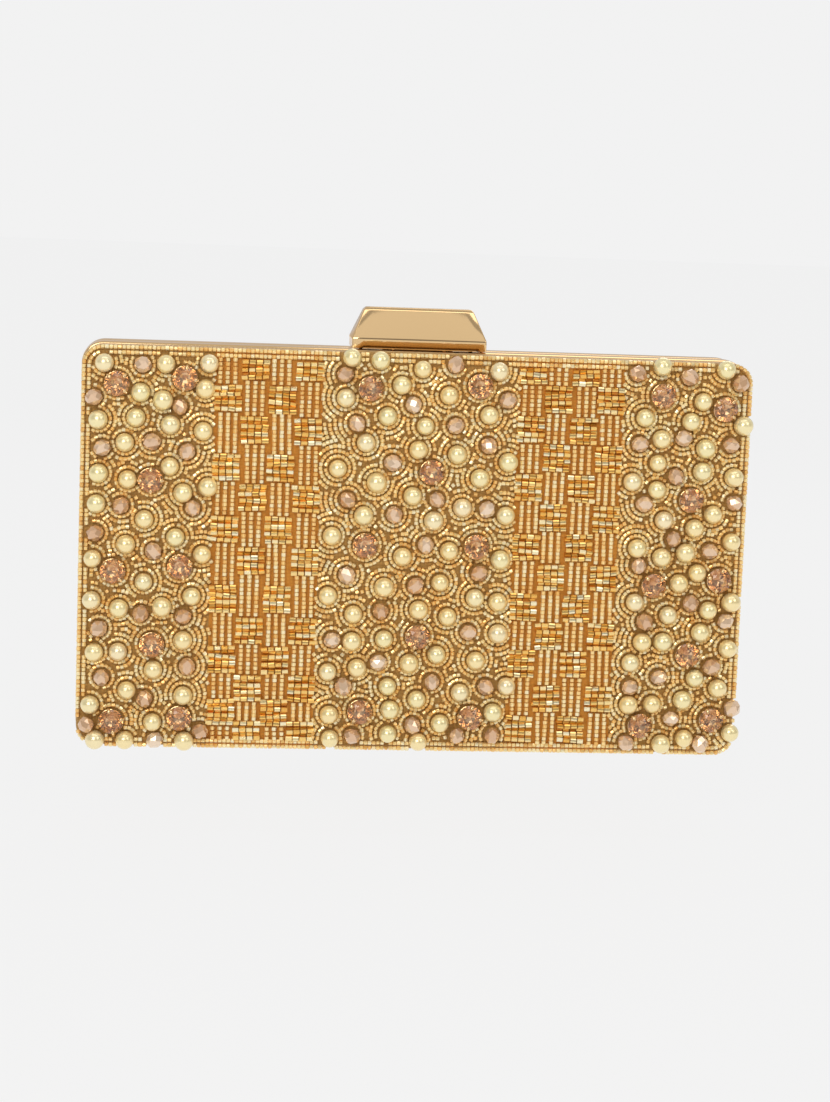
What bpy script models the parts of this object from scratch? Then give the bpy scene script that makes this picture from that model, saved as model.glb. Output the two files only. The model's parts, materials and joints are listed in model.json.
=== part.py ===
"""A hard evening bag (box clutch): two padded, fabric-covered half shells in gilt metal frames, joined by a
piano hinge along the bottom and held shut by a faceted lever clasp. The front face is embroidered all over
with beads.

Metres, +Z up, the front faces -Y. Origin: on the supporting plane, under the middle of the closed bag.
"depth" in the names below is measured from the plane where the two halves meet, positive towards the back.
"""

import math

import bmesh
import bpy
from mathutils import Matrix, Vector

MM = 0.001
GAP = 0.3 * MM  # clearance between pieces that touch
SAME_POINT = 0.001 * MM  # corners nearer than this are one corner

# Outline of the closed bag, seen from the front
FRAME_WIDTH = 208.8 * MM
FRAME_HEIGHT = 125.4 * MM
CORNER_RADIUS = 7.0 * MM
LEAST_CORNER_RADIUS = 1.0 * MM
CORNER_SEGMENTS = 6

# How far each layer lies inside the frame's outline, and how thick it is
FRAME_WALL = 1.2 * MM
COVER_INSET = 0.6 * MM
COVER_THICKNESS = 0.5 * MM
SHELL_INSET = FRAME_WALL + GAP
SHELL_WALL = 1.2 * MM
LINING_INSET = SHELL_INSET + SHELL_WALL + GAP
LINING_THICKNESS = 0.6 * MM

# Depths from the meeting plane outwards, the same on both halves
MEETING_GAP = GAP / 2
FLANGE_REACH = 3.6 * MM
FRAME_DEPTH = 11.0 * MM
SHELL_START = 1.6 * MM
SHELL_DEPTH = 18.0 * MM
PADDING_THICKNESS = 1.0 * MM
PADDING_DEPTH = SHELL_DEPTH + GAP + PADDING_THICKNESS
COVER_START = FRAME_DEPTH + GAP
COVER_DEPTH = PADDING_DEPTH + GAP + COVER_THICKNESS
LINING_DEPTH = SHELL_DEPTH - SHELL_WALL - GAP

# Beadwork on the front
BED_START = COVER_DEPTH + GAP
BED_THICKNESS = 1.6 * MM
BED_DEPTH = BED_START + BED_THICKNESS
BORDER_INSET = 0.4 * MM
WEAVE_INNER_EDGE = 30.3 * MM
WEAVE_OUTER_EDGE = 63.5 * MM
WEAVE_END_INSET = 3.7 * MM
STONE_RADIUS = 3.75 * MM
CUP_RADIUS = 4.1 * MM
STONE_HEIGHT = 5.4 * MM
STONE_SIDES = 12
PEARL_RADIUS = 2.8 * MM
PEARL_SEGMENTS = 8
PEARL_RINGS = 6
CRYSTAL_RADIUS = 2.5 * MM
GEM_LIFT = 0.1 * MM
PEARL_TOP = BED_START + GEM_LIFT + 2 * PEARL_RADIUS

# The meeting plane is set back so that the bag's whole depth is centred on the origin
MEETING_Y = (PEARL_TOP - COVER_DEPTH) / 2

# Piano hinge along the bottom
HINGE_LENGTH = 180.0 * MM
HINGE_KNUCKLES = 5
HINGE_HEIGHT = 1.6 * MM
HINGE_BARREL_RADIUS = 1.4 * MM
HINGE_BORE_RADIUS = 0.68 * MM
HINGE_PIN_RADIUS = 0.6 * MM
HINGE_LEAF_REACH = 9.0 * MM
HINGE_LEAF_THICKNESS = 1.0 * MM
HINGE_NOTCH = 1.75 * MM
ROD_SIDES = 16

# Clasp on top: the lever's cap, its pivot and its hook
CLASP_WIDTH = 42.0 * MM
CLASP_TOP_WIDTH = 34.5 * MM
CLASP_FRONT = -10.8 * MM
CLASP_BACK = 5.2 * MM
CLASP_TOP_DEPTH = 7.4 * MM
CLASP_WALL = 1.0 * MM
CLASP_BOTTOM = FRAME_HEIGHT + 0.7 * MM
CLASP_SKIRT_TOP = FRAME_HEIGHT + 3.4 * MM
CLASP_SHOULDER = FRAME_HEIGHT + 12.1 * MM
CLASP_TOP = FRAME_HEIGHT + 12.9 * MM
CLASP_BEVEL = 0.8 * MM
PIVOT_DEPTH = 2.0 * MM
PIVOT_HEIGHT = FRAME_HEIGHT + 2.6 * MM
PIVOT_PIN_RADIUS = 0.8 * MM
PIVOT_HOLE_RADIUS = 0.87 * MM
PLATE_BOTTOM = FRAME_HEIGHT + GAP
PLATE_THICKNESS = 0.7 * MM
PLATE_TOP = PLATE_BOTTOM + PLATE_THICKNESS
RIVET_RADIUS = 0.8 * MM
RIVET_HEAD_RADIUS = 1.4 * MM
RIVET_HEAD_HEIGHT = 0.6 * MM
RIVET_SIDES = 12
BASE_RIVETS = [(-14.0 * MM, 7.2 * MM), (14.0 * MM, 7.2 * MM)]
STRIKER_RIVETS = [(-8.0 * MM, -7.2 * MM), (8.0 * MM, -7.2 * MM)]

# The bracket that carries the pivot, and the cut in the cap's back edge that lets it swing over the plates
BASE_START = 0.5 * MM
BASE_END = 9.2 * MM
EAR_OUTER = CLASP_WIDTH / 2 - CLASP_WALL - 2.0 * MM
EAR_MARGIN = 1.5 * MM
RELIEF_START = PIVOT_DEPTH + 1.2 * MM
RELIEF_TOP = PIVOT_HEIGHT + 0.3 * MM

# The hook inside the cap, and the plate whose lip it holds
HOOK_HALF_WIDTH = 5.0 * MM
HOOK_BACK = -3.3 * MM
HOOK_THICKNESS = 0.9 * MM
HOOK_TIP = FRAME_HEIGHT + 1.3 * MM
HOOK_FOOT_REACH = 1.8 * MM
HOOK_TOP = CLASP_TOP - CLASP_WALL - 0.4 * MM
STRIKER_HALF_WIDTH = 11.0 * MM
STRIKER_START = -0.8 * MM
STRIKER_END = -9.4 * MM
LIP_HALF_WIDTH = 7.0 * MM
LIP_THICKNESS = 0.8 * MM
LIP_TOP = HOOK_TIP + 1.2 * MM

# The torsion spring on the pivot
SPRING_RADIUS = 1.2 * MM
SPRING_WIRE_RADIUS = 0.22 * MM
SPRING_TURNS = 4.25
SPRING_PITCH = 0.62 * MM
SPRING_STEPS_PER_TURN = 10
SPRING_FOOT_DEPTH = 0.7 * MM
SPRING_LEG = (0.0, -1.4 * MM, 3.2 * MM)

# Where each field's gems sit, in millimetres across from the bag's middle and up from the border's foot
STONES = {
    "left": [
        (-93.1, 112.8), (-72.5, 115.0), (-82.3, 83.5), (-93.3, 55.3), (-72.9, 57.0), (-80.9, 32.6),
        (-92.9, 8.4), (-72.0, 9.7),
    ],
    "centre": [
        (-15.7, 113.5), (18.1, 115.2), (4.0, 88.2), (-15.9, 64.9), (18.8, 65.3), (1.4, 36.6),
        (-15.9, 12.6), (18.8, 11.3),
    ],
    "right": [
        (75.5, 113.9), (95.2, 110.2), (85.8, 81.5), (75.2, 54.3), (95.9, 56.4), (87.1, 32.4), (72.9, 9.6),
        (95.7, 11.7),
    ],
}
PEARLS = {
    "left": [
        (-97.0, 119.0), (-78.4, 119.2), (-65.3, 119.7), (-85.9, 110.3), (-79.1, 108.1), (-66.3, 111.9),
        (-98.6, 101.7), (-87.2, 102.6), (-76.7, 100.7), (-66.7, 99.0), (-90.4, 94.9), (-76.6, 87.9),
        (-98.2, 85.3), (-89.3, 83.6), (-72.4, 79.9), (-64.8, 81.9), (-98.7, 75.9), (-84.0, 71.5),
        (-74.4, 66.1), (-89.5, 63.6), (-66.1, 61.0), (-99.5, 59.0), (-83.8, 52.1), (-69.0, 47.9),
        (-99.6, 46.1), (-91.2, 43.7), (-78.1, 44.4), (-71.4, 34.1), (-98.5, 29.9), (-91.2, 30.2),
        (-80.3, 24.8), (-88.3, 18.2), (-71.0, 16.8), (-99.5, 13.5), (-80.2, 8.3), (-97.8, 2.5),
        (-88.6, 2.5), (-70.3, 2.5),
    ],
    "centre": [
        (-21.8, 122.8), (-13.0, 122.2), (0.1, 119.9), (23.8, 119.9), (-6.2, 114.8), (8.5, 112.1),
        (-23.3, 110.4), (-10.3, 105.1), (21.2, 106.3), (1.5, 102.4), (-16.7, 96.8), (-0.4, 95.0),
        (11.7, 93.9), (27.7, 91.9), (-25.1, 88.6), (19.0, 86.7), (-13.0, 84.6), (-1.7, 80.7), (13.9, 77.4),
        (27.5, 75.3), (-16.7, 74.2), (5.1, 73.1), (-26.3, 67.7), (10.3, 63.8), (-4.2, 61.7), (26.4, 61.4),
        (7.8, 53.8), (-9.6, 52.0), (18.9, 49.2), (-27.0, 49.0), (26.1, 48.1), (1.4, 45.1), (-18.9, 43.3),
        (10.5, 43.1), (26.6, 38.1), (-9.1, 35.7), (-19.1, 34.8), (7.5, 31.1), (19.9, 29.4), (-1.0, 28.2),
        (-17.2, 26.4), (-26.3, 25.0), (29.9, 21.5), (-7.5, 20.7), (15.3, 19.2), (1.8, 16.8), (-6.5, 13.4),
        (25.9, 13.0), (-25.5, 11.5), (9.4, 9.3), (-6.9, 5.7), (-25.0, 3.9), (2.7, 3.3),
    ],
    "right": [
        (74.7, 122.9), (94.9, 122.5), (88.1, 112.4), (70.0, 106.9), (84.6, 106.1), (101.2, 105.3),
        (75.5, 100.4), (89.6, 97.8), (74.7, 92.9), (88.9, 90.6), (99.0, 89.0), (66.9, 86.8), (74.8, 84.5),
        (93.0, 77.2), (77.5, 75.0), (87.3, 72.7), (99.3, 68.7), (69.4, 66.0), (84.8, 64.9), (77.3, 63.3),
        (88.9, 58.6), (83.2, 55.2), (69.5, 48.9), (100.2, 49.5), (93.0, 46.8), (80.3, 45.0), (90.8, 39.7),
        (79.0, 36.5), (72.4, 36.3), (99.9, 34.7), (69.0, 29.6), (89.8, 25.1), (97.3, 21.9), (86.2, 18.0),
        (76.5, 16.5), (69.0, 16.2), (102.0, 7.7), (87.3, 5.7), (80.0, 3.8),
    ],
}
CRYSTALS = {
    "left": [
        (-85.4, 118.8), (-100.0, 108.5), (-73.9, 106.3), (-82.2, 95.4), (-97.2, 93.1), (-71.4, 92.6),
        (-91.2, 75.5), (-69.3, 75.3), (-98.9, 66.9), (-81.0, 61.7), (-84.5, 42.2), (-71.4, 41.6),
        (-97.2, 37.3), (-69.9, 25.9), (-96.1, 22.0), (-82.8, 15.6), (-100.5, 7.2), (-65.4, 5.7),
        (-79.4, 2.7),
    ],
    "centre": [
        (10.2, 121.6), (-23.7, 117.6), (26.9, 111.1), (-2.4, 108.9), (10.9, 102.8), (-19.6, 102.6),
        (21.4, 96.9), (-8.2, 90.8), (5.9, 79.7), (-21.8, 79.0), (21.6, 77.1), (-7.2, 74.7), (2.9, 65.5),
        (19.9, 57.0), (-21.3, 55.5), (0.2, 52.7), (-10.4, 44.4), (17.3, 38.3), (-25.2, 35.1),
        (-10.6, 28.3), (6.4, 22.4), (23.4, 21.1), (-21.3, 20.5), (0.8, 8.5), (26.0, 5.6), (14.9, 5.4),
        (-18.1, 4.8),
    ],
    "right": [
        (67.1, 120.6), (83.5, 119.9), (99.7, 118.4), (82.5, 100.9), (97.6, 99.1), (68.8, 98.7),
        (80.6, 88.8), (99.5, 81.0), (71.0, 80.0), (80.8, 69.2), (92.6, 65.6), (70.2, 60.5), (87.3, 48.9),
        (98.7, 43.5), (72.9, 42.7), (95.0, 28.7), (78.3, 25.1), (69.2, 21.8), (102.3, 15.6), (82.8, 12.0),
        (68.8, 4.0), (92.6, 4.0),
    ],
}

PARTS = bpy.data.collections.new("evening_bag")
CUTTERS = bpy.data.collections.new("cutters")


def clear_scene():
    for thing in list(bpy.data.objects):
        bpy.data.objects.remove(thing, do_unlink=True)
    for collection in (PARTS, CUTTERS):
        bpy.context.scene.collection.children.link(collection)


def material(name, colour, roughness, metallic=0.0):
    made = bpy.data.materials.new(name)
    made.use_nodes = True
    shader = made.node_tree.nodes["Principled BSDF"]
    shader.inputs["Base Color"].default_value = (*colour, 1.0)
    shader.inputs["Roughness"].default_value = roughness
    shader.inputs["Metallic"].default_value = metallic
    return made


# ---------------------------------------------------------------- placing and joining


def at(across, depth, height):
    """A point of the closed bag: across from its middle, depth from the meeting plane, height off the foot."""
    return Vector((across, MEETING_Y + depth, height))


def body(name, axis_point):
    """The empty that a body's pieces hang from, on the axis that the body turns about."""
    empty = bpy.data.objects.new(name, None)
    empty.empty_display_size = 10 * MM
    empty.location = axis_point
    PARTS.objects.link(empty)
    return empty


def finish(bm, name):
    """The bmesh as an object of the cutters' collection, until it's made a part."""
    mesh = bpy.data.meshes.new(name)
    bm.to_mesh(mesh)
    bm.free()
    made = bpy.data.objects.new(name, mesh)
    made.hide_render = True
    made.display_type = "WIRE"
    CUTTERS.objects.link(made)
    return made


def make_part(made, parent, surface):
    """Turns a finished object into a visible part of a body."""
    made.hide_render = False
    made.display_type = "TEXTURED"
    CUTTERS.objects.unlink(made)
    PARTS.objects.link(made)
    made.parent = parent
    made.matrix_parent_inverse = Matrix.Translation(-parent.location)
    made.data.materials.clear()
    made.data.materials.append(surface)
    return made


def combine(target, other, operation):
    change = target.modifiers.new(f"{operation.lower()}_{other.name}", "BOOLEAN")
    change.operation = operation
    change.solver = "EXACT"
    change.object = other


def thicken(target, thickness):
    """Gives an open surface its thickness, on the side away from its normals."""
    solid = target.modifiers.new("thickness", "SOLIDIFY")
    solid.thickness = thickness
    solid.offset = -1.0
    solid.use_even_offset = True


# ---------------------------------------------------------------- basic shapes


def box(name, low, high):
    """A box between two corners given as (across, depth, height)."""
    low, high = at(*low), at(*high)
    bm = bmesh.new()
    size = Matrix.Diagonal((*(high - low), 1.0))
    bmesh.ops.create_cube(bm, size=1.0, matrix=Matrix.Translation((low + high) / 2) @ size)
    return finish(bm, name)


def rod(name, centre, radius, length):
    """A cylinder that lies across the bag, with its middle at the centre (across, depth, height)."""
    bm = bmesh.new()
    bmesh.ops.create_cone(
        bm,
        cap_ends=True,
        segments=ROD_SIDES,
        radius1=radius,
        radius2=radius,
        depth=length,
        matrix=Matrix.Translation(at(*centre)) @ Matrix.Rotation(math.pi / 2, 4, "Y"),
    )
    return finish(bm, name)


def outline(bm, inset, depth):
    """The bag's rounded outline as one face at this depth, drawn in by the inset."""
    width = FRAME_WIDTH - 2 * inset
    height = FRAME_HEIGHT - 2 * inset
    upright = Matrix.Rotation(math.pi / 2, 4, "X") @ Matrix.Diagonal((width, height, 1.0, 1.0))
    place = Matrix.Translation(at(0.0, depth, FRAME_HEIGHT / 2)) @ upright
    corners = bmesh.ops.create_grid(bm, x_segments=1, y_segments=1, size=0.5, matrix=place)["verts"]
    bmesh.ops.bevel(
        bm,
        geom=corners,
        offset=max(CORNER_RADIUS - inset, LEAST_CORNER_RADIUS),
        offset_type="OFFSET",
        segments=CORNER_SEGMENTS,
        profile=0.5,
        affect="VERTICES",
    )
    return bm.faces[:]


def draw_out(bm, edges, depth_change):
    """Extrudes edges along the depth into walls."""
    made = bmesh.ops.extrude_edge_only(bm, edges=edges)["geom"]
    verts = [part for part in made if isinstance(part, bmesh.types.BMVert)]
    bmesh.ops.translate(bm, verts=verts, vec=(0.0, depth_change, 0.0))


def tray(name, side, inset, start, end, thickness):
    """A rounded tray, closed at its outer end, with its mouth towards the meeting plane."""
    bm = bmesh.new()
    outline(bm, inset, side * end)
    draw_out(bm, bm.edges[:], side * (start - end))
    bmesh.ops.recalc_face_normals(bm, faces=bm.faces)
    made = finish(bm, name)
    thicken(made, thickness)
    return made


def plate(name, side, inset, start, end):
    """A flat plate of the bag's outline, drawn in by the inset."""
    bm = bmesh.new()
    outline(bm, inset, side * start)
    face_made = bmesh.ops.extrude_face_region(bm, geom=bm.faces[:])["geom"]
    verts = [part for part in face_made if isinstance(part, bmesh.types.BMVert)]
    bmesh.ops.translate(bm, verts=verts, vec=(0.0, side * (end - start), 0.0))
    bmesh.ops.recalc_face_normals(bm, faces=bm.faces)
    return finish(bm, name)


def turn_about(bm, section, centre, sides):
    """Turns a half section about the upright axis through the centre into a closed shape."""
    bmesh.ops.spin(
        bm, geom=section, cent=centre, axis=(0.0, 0.0, 1.0), angle=2 * math.pi, steps=sides, use_merge=True
    )
    bmesh.ops.remove_doubles(bm, verts=bm.verts, dist=SAME_POINT)
    bmesh.ops.recalc_face_normals(bm, faces=bm.faces)


# ---------------------------------------------------------------- halves


def metal_frame(name, side):
    """An L-section gilt frame: its wall shows round the bag's edge and its flange meets the other half's."""
    bm = bmesh.new()
    face = outline(bm, 0.0, side * MEETING_GAP)
    rim = bm.edges[:]
    bmesh.ops.inset_region(bm, faces=face, thickness=FLANGE_REACH, use_even_offset=True)
    bmesh.ops.delete(bm, geom=face, context="FACES_ONLY")
    draw_out(bm, rim, side * (FRAME_DEPTH - MEETING_GAP))
    bmesh.ops.recalc_face_normals(bm, faces=bm.faces)
    made = finish(bm, name)
    thicken(made, FRAME_WALL)
    return made


def hinge_notch(name):
    """Room for the hinge's barrel in the frames' bottom walls and flanges."""
    reach = FRAME_WIDTH / 2
    return box(name, (-reach, -HINGE_NOTCH, -MM), (reach, HINGE_NOTCH, HINGE_HEIGHT + HINGE_NOTCH))


def leaf_slot(name):
    """Room for the hinge's leaves in the shells' bottom walls."""
    across = HINGE_LENGTH / 2 + GAP
    depth = HINGE_LEAF_REACH + GAP
    return box(name, (-across, -depth, FRAME_WALL), (across, depth, LINING_INSET))


def hinge_leaf(name, side, own_first):
    """One leaf of the piano hinge with every second knuckle."""
    half = HINGE_LENGTH / 2
    bottom = FRAME_WALL + GAP
    top = bottom + HINGE_LEAF_THICKNESS
    near = HINGE_BARREL_RADIUS + GAP
    depths = sorted((side * near, side * HINGE_LEAF_REACH))
    made = box(name, (-half, depths[0], bottom), (half, depths[1], top))
    pitch = HINGE_LENGTH / HINGE_KNUCKLES
    for index in range(0 if own_first else 1, HINGE_KNUCKLES, 2):
        middle = -half + (index + 0.5) * pitch
        reach = (pitch - GAP) / 2
        web_depths = sorted((side * HINGE_BORE_RADIUS, side * (near + GAP)))
        low = (middle - reach, web_depths[0], bottom)
        high = (middle + reach, web_depths[1], top)
        combine(made, box(f"{name}_web_{index}", low, high), "UNION")
        centre = (middle, 0.0, HINGE_HEIGHT)
        barrel = rod(f"{name}_barrel_{index}", centre, HINGE_BARREL_RADIUS, 2 * reach)
        combine(made, barrel, "UNION")
    axis_middle = (0.0, 0.0, HINGE_HEIGHT)
    bore = rod(f"{name}_bore", axis_middle, HINGE_BORE_RADIUS, HINGE_LENGTH + MM)
    combine(made, bore, "DIFFERENCE")
    return made


# ---------------------------------------------------------------- beadwork


def embroidery_places(places):
    """Places of one kind of gem on all the fields, in metres across and up."""
    listed = [place for field in places.values() for place in field]
    return [(across * MM, BORDER_INSET + height * MM) for across, height in listed]


def gem_shapes(name):
    """The pearls and crystals, as separate closed shapes in one mesh."""
    bm = bmesh.new()
    turn = Matrix.Rotation(math.pi / 2, 4, "X")
    for across, height in embroidery_places(PEARLS):
        place = Matrix.Translation(at(across, -(BED_START + GEM_LIFT + PEARL_RADIUS), height)) @ turn
        bmesh.ops.create_uvsphere(
            bm, u_segments=PEARL_SEGMENTS, v_segments=PEARL_RINGS, radius=PEARL_RADIUS, matrix=place
        )
    for across, height in embroidery_places(CRYSTALS):
        place = Matrix.Translation(at(across, -(BED_START + GEM_LIFT + CRYSTAL_RADIUS), height)) @ turn
        bmesh.ops.create_icosphere(bm, subdivisions=1, radius=CRYSTAL_RADIUS, matrix=place)
    return finish(bm, name)


def round_holes(name, places, radius):
    """Cutters for round holes of one size through the bead bed."""
    bm = bmesh.new()
    turn = Matrix.Rotation(math.pi / 2, 4, "X")
    for across, height in places:
        bmesh.ops.create_cone(
            bm,
            cap_ends=True,
            segments=STONE_SIDES,
            radius1=radius,
            radius2=radius,
            depth=BED_THICKNESS + MM,
            matrix=Matrix.Translation(at(across, -(BED_START + BED_DEPTH) / 2, height)) @ turn,
        )
    return finish(bm, name)


def weave_box(name, side, margin):
    """A box round one of the two woven strips, larger than the strip by the margin."""
    across = sorted((side * (WEAVE_INNER_EDGE - margin), side * (WEAVE_OUTER_EDGE + margin)))
    low = (across[0], -BED_DEPTH - MM, WEAVE_END_INSET - margin)
    high = (across[1], -BED_START + MM, FRAME_HEIGHT - WEAVE_END_INSET + margin)
    return box(name, low, high)


def embroidery(name):
    """The bead bed of the border and three fields, with its gems, cup holes and windows for the weaves."""
    made = plate(name, -1, BORDER_INSET, BED_START, BED_DEPTH)
    for side in (-1, 1):
        combine(made, weave_box(f"{name}_window_{side}", side, GAP), "DIFFERENCE")
    cups = embroidery_places(STONES)
    combine(made, round_holes(f"{name}_cup_holes", cups, CUP_RADIUS + GAP), "DIFFERENCE")
    combine(made, gem_shapes(f"{name}_gems"), "UNION")
    return made


def bead_weave(name, side):
    """One woven strip of beads, with room for the gems that reach over its edge."""
    made = plate(name, -1, BORDER_INSET, BED_START, BED_DEPTH)
    combine(made, weave_box(f"{name}_limits", side, 0.0), "INTERSECT")
    kinds = (("pearl", PEARLS, PEARL_RADIUS), ("crystal", CRYSTALS, CRYSTAL_RADIUS))
    for kind, places, radius in kinds:
        near = []
        for across, height in embroidery_places(places):
            if WEAVE_INNER_EDGE - radius - GAP < side * across < WEAVE_OUTER_EDGE + radius + GAP:
                near.append((across, height))
        if near:
            combine(made, round_holes(f"{name}_{kind}_room", near, radius + GAP), "DIFFERENCE")
    return made


def stone_profile():
    """Half section of a faceted stone in its cup, as (radius, height) from the table down to the foot."""
    return [
        (0.0, STONE_HEIGHT),
        (0.55 * STONE_RADIUS, STONE_HEIGHT),
        (STONE_RADIUS, 0.74 * STONE_HEIGHT),
        (CUP_RADIUS, 0.70 * STONE_HEIGHT),
        (0.82 * CUP_RADIUS, 0.0),
        (0.0, 0.0),
    ]


def stone_mesh():
    """The turned stone, about its own +Z axis."""
    bm = bmesh.new()
    verts = [bm.verts.new((radius, 0.0, height)) for radius, height in stone_profile()]
    edges = [bm.edges.new(pair) for pair in zip(verts, verts[1:])]
    turn_about(bm, verts + edges, (0.0, 0.0, 0.0), STONE_SIDES)
    mesh = bpy.data.meshes.new("stone_in_cup")
    bm.to_mesh(mesh)
    bm.free()
    return mesh


def add_stones(parent, surface):
    shared = stone_mesh()
    shared.materials.append(surface)
    for field, places in STONES.items():
        for number, (across, height) in enumerate(places, 1):
            stone = bpy.data.objects.new(f"stone_{field}_{number}", shared)
            stone.rotation_euler = (math.pi / 2, 0.0, 0.0)
            stone.location = at(across * MM, -BED_START, BORDER_INSET + height * MM)
            stone.parent = parent
            stone.matrix_parent_inverse = Matrix.Translation(-parent.location)
            PARTS.objects.link(stone)


# ---------------------------------------------------------------- clasp


def clasp_cap(name):
    """The lever's hollow cap: an upright skirt under four sloping faces and a narrow bevelled top."""
    base_depth = CLASP_BACK - CLASP_FRONT
    middle = (CLASP_BACK + CLASP_FRONT) / 2
    levels = [
        (CLASP_WIDTH, base_depth, CLASP_BOTTOM),
        (CLASP_WIDTH, base_depth, CLASP_SKIRT_TOP),
        (CLASP_TOP_WIDTH, CLASP_TOP_DEPTH, CLASP_SHOULDER),
        (CLASP_TOP_WIDTH - 2 * CLASP_BEVEL, CLASP_TOP_DEPTH - 2 * CLASP_BEVEL, CLASP_TOP),
    ]
    bm = bmesh.new()
    turn = [(-0.5, -0.5), (0.5, -0.5), (0.5, 0.5), (-0.5, 0.5)]
    rows = []
    for width, depth, height in levels:
        rows.append([bm.verts.new(at(x * width, middle + y * depth, height)) for x, y in turn])
    for lower, upper in zip(rows, rows[1:]):
        for index in range(4):
            after = (index + 1) % 4
            bm.faces.new((lower[index], lower[after], upper[after], upper[index]))
    bm.faces.new(rows[-1])
    made = finish(bm, name)
    thicken(made, CLASP_WALL)
    relief_low = (-CLASP_WIDTH, RELIEF_START, FRAME_HEIGHT)
    relief_high = (CLASP_WIDTH, CLASP_BACK + MM, RELIEF_TOP)
    combine(made, box("cap_relief", relief_low, relief_high), "DIFFERENCE")
    combine(made, pivot_hole("cap_pivot_hole"), "DIFFERENCE")
    return made


def pivot_hole(name):
    return rod(name, (0.0, PIVOT_DEPTH, PIVOT_HEIGHT), PIVOT_HOLE_RADIUS, CLASP_WIDTH + MM)


def clasp_hook(name):
    """The catch inside the cap: a plate that hangs from a foot under the cap's top."""
    front = HOOK_BACK - HOOK_THICKNESS
    made = box(name, (-HOOK_HALF_WIDTH, front, HOOK_TIP), (HOOK_HALF_WIDTH, HOOK_BACK, HOOK_TOP))
    foot_low = (-HOOK_HALF_WIDTH, HOOK_BACK - HOOK_FOOT_REACH, HOOK_TOP - HOOK_THICKNESS)
    foot_high = (HOOK_HALF_WIDTH, HOOK_BACK + HOOK_FOOT_REACH, HOOK_TOP)
    combine(made, box("hook_foot", foot_low, foot_high), "UNION")
    return made


def rivet_holes(name, places):
    bm = bmesh.new()
    for across, depth in places:
        bmesh.ops.create_cone(
            bm,
            cap_ends=True,
            segments=RIVET_SIDES,
            radius1=RIVET_RADIUS + GAP,
            radius2=RIVET_RADIUS + GAP,
            depth=2 * (FRAME_WALL + PLATE_THICKNESS),
            matrix=Matrix.Translation(at(across, depth, FRAME_HEIGHT)),
        )
    return finish(bm, name)


def clasp_base(name):
    """The bracket on the back frame: a plate with two ears that carry the pivot pin."""
    made = box(name, (-EAR_OUTER, BASE_START, PLATE_BOTTOM), (EAR_OUTER, BASE_END, PLATE_TOP))
    for side in (-1, 1):
        across = sorted((side * (EAR_OUTER - CLASP_WALL), side * EAR_OUTER))
        low = (across[0], BASE_START, PLATE_BOTTOM)
        high = (across[1], PIVOT_DEPTH + EAR_MARGIN, PIVOT_HEIGHT + EAR_MARGIN)
        combine(made, box(f"{name}_ear_{side}", low, high), "UNION")
    combine(made, pivot_hole(f"{name}_pivot_hole"), "DIFFERENCE")
    combine(made, rivet_holes(f"{name}_rivet_holes", BASE_RIVETS), "DIFFERENCE")
    return made


def striker_plate(name):
    """The plate on the front frame with the low lip that the hook holds."""
    low = (-STRIKER_HALF_WIDTH, STRIKER_END, PLATE_BOTTOM)
    high = (STRIKER_HALF_WIDTH, STRIKER_START, PLATE_TOP)
    made = box(name, low, high)
    lip_low = (-LIP_HALF_WIDTH, HOOK_BACK + GAP, PLATE_BOTTOM)
    lip_high = (LIP_HALF_WIDTH, HOOK_BACK + GAP + LIP_THICKNESS, LIP_TOP)
    combine(made, box(f"{name}_lip", lip_low, lip_high), "UNION")
    combine(made, rivet_holes(f"{name}_rivet_holes", STRIKER_RIVETS), "DIFFERENCE")
    return made


def rivet(name, place):
    """A blind rivet: a shank through the plate and the frame's wall, under a low domed head."""
    across, depth = place
    foot = FRAME_HEIGHT - FRAME_WALL
    head = PLATE_TOP + GAP
    profile = [
        (0.0, head + RIVET_HEAD_HEIGHT),
        (0.6 * RIVET_HEAD_RADIUS, head + 0.8 * RIVET_HEAD_HEIGHT),
        (RIVET_HEAD_RADIUS, head),
        (RIVET_RADIUS, head),
        (RIVET_RADIUS, foot),
        (0.0, foot),
    ]
    centre = at(across, depth, 0.0)
    bm = bmesh.new()
    verts = [bm.verts.new(centre + Vector((radius, 0.0, height))) for radius, height in profile]
    edges = [bm.edges.new(pair) for pair in zip(verts, verts[1:])]
    turn_about(bm, verts + edges, centre, RIVET_SIDES)
    return finish(bm, name)


def clasp_spring(name, parent, surface):
    """The torsion spring on the pivot pin, with one leg on the plate and one leg up inside the cap."""
    steps = int(SPRING_TURNS * SPRING_STEPS_PER_TURN)
    path = [at(0.0, SPRING_FOOT_DEPTH, PIVOT_HEIGHT - SPRING_RADIUS)]
    for step in range(steps + 1):
        turned = 2 * math.pi * SPRING_TURNS * step / steps
        depth = PIVOT_DEPTH + SPRING_RADIUS * math.sin(turned)
        height = PIVOT_HEIGHT - SPRING_RADIUS * math.cos(turned)
        path.append(at(SPRING_PITCH * turned / (2 * math.pi), depth, height))
    path.append(path[-1] + Vector(SPRING_LEG))
    curve = bpy.data.curves.new(name, "CURVE")
    curve.dimensions = "3D"
    curve.bevel_depth = SPRING_WIRE_RADIUS
    curve.bevel_resolution = 1
    curve.use_fill_caps = True
    spline = curve.splines.new("POLY")
    spline.points.add(len(path) - 1)
    for point, place in zip(spline.points, path):
        point.co = (*place, 1.0)
    made = bpy.data.objects.new(name, curve)
    curve.materials.append(surface)
    made.parent = parent
    made.matrix_parent_inverse = Matrix.Translation(-parent.location)
    PARTS.objects.link(made)


# ---------------------------------------------------------------- the bag


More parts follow.
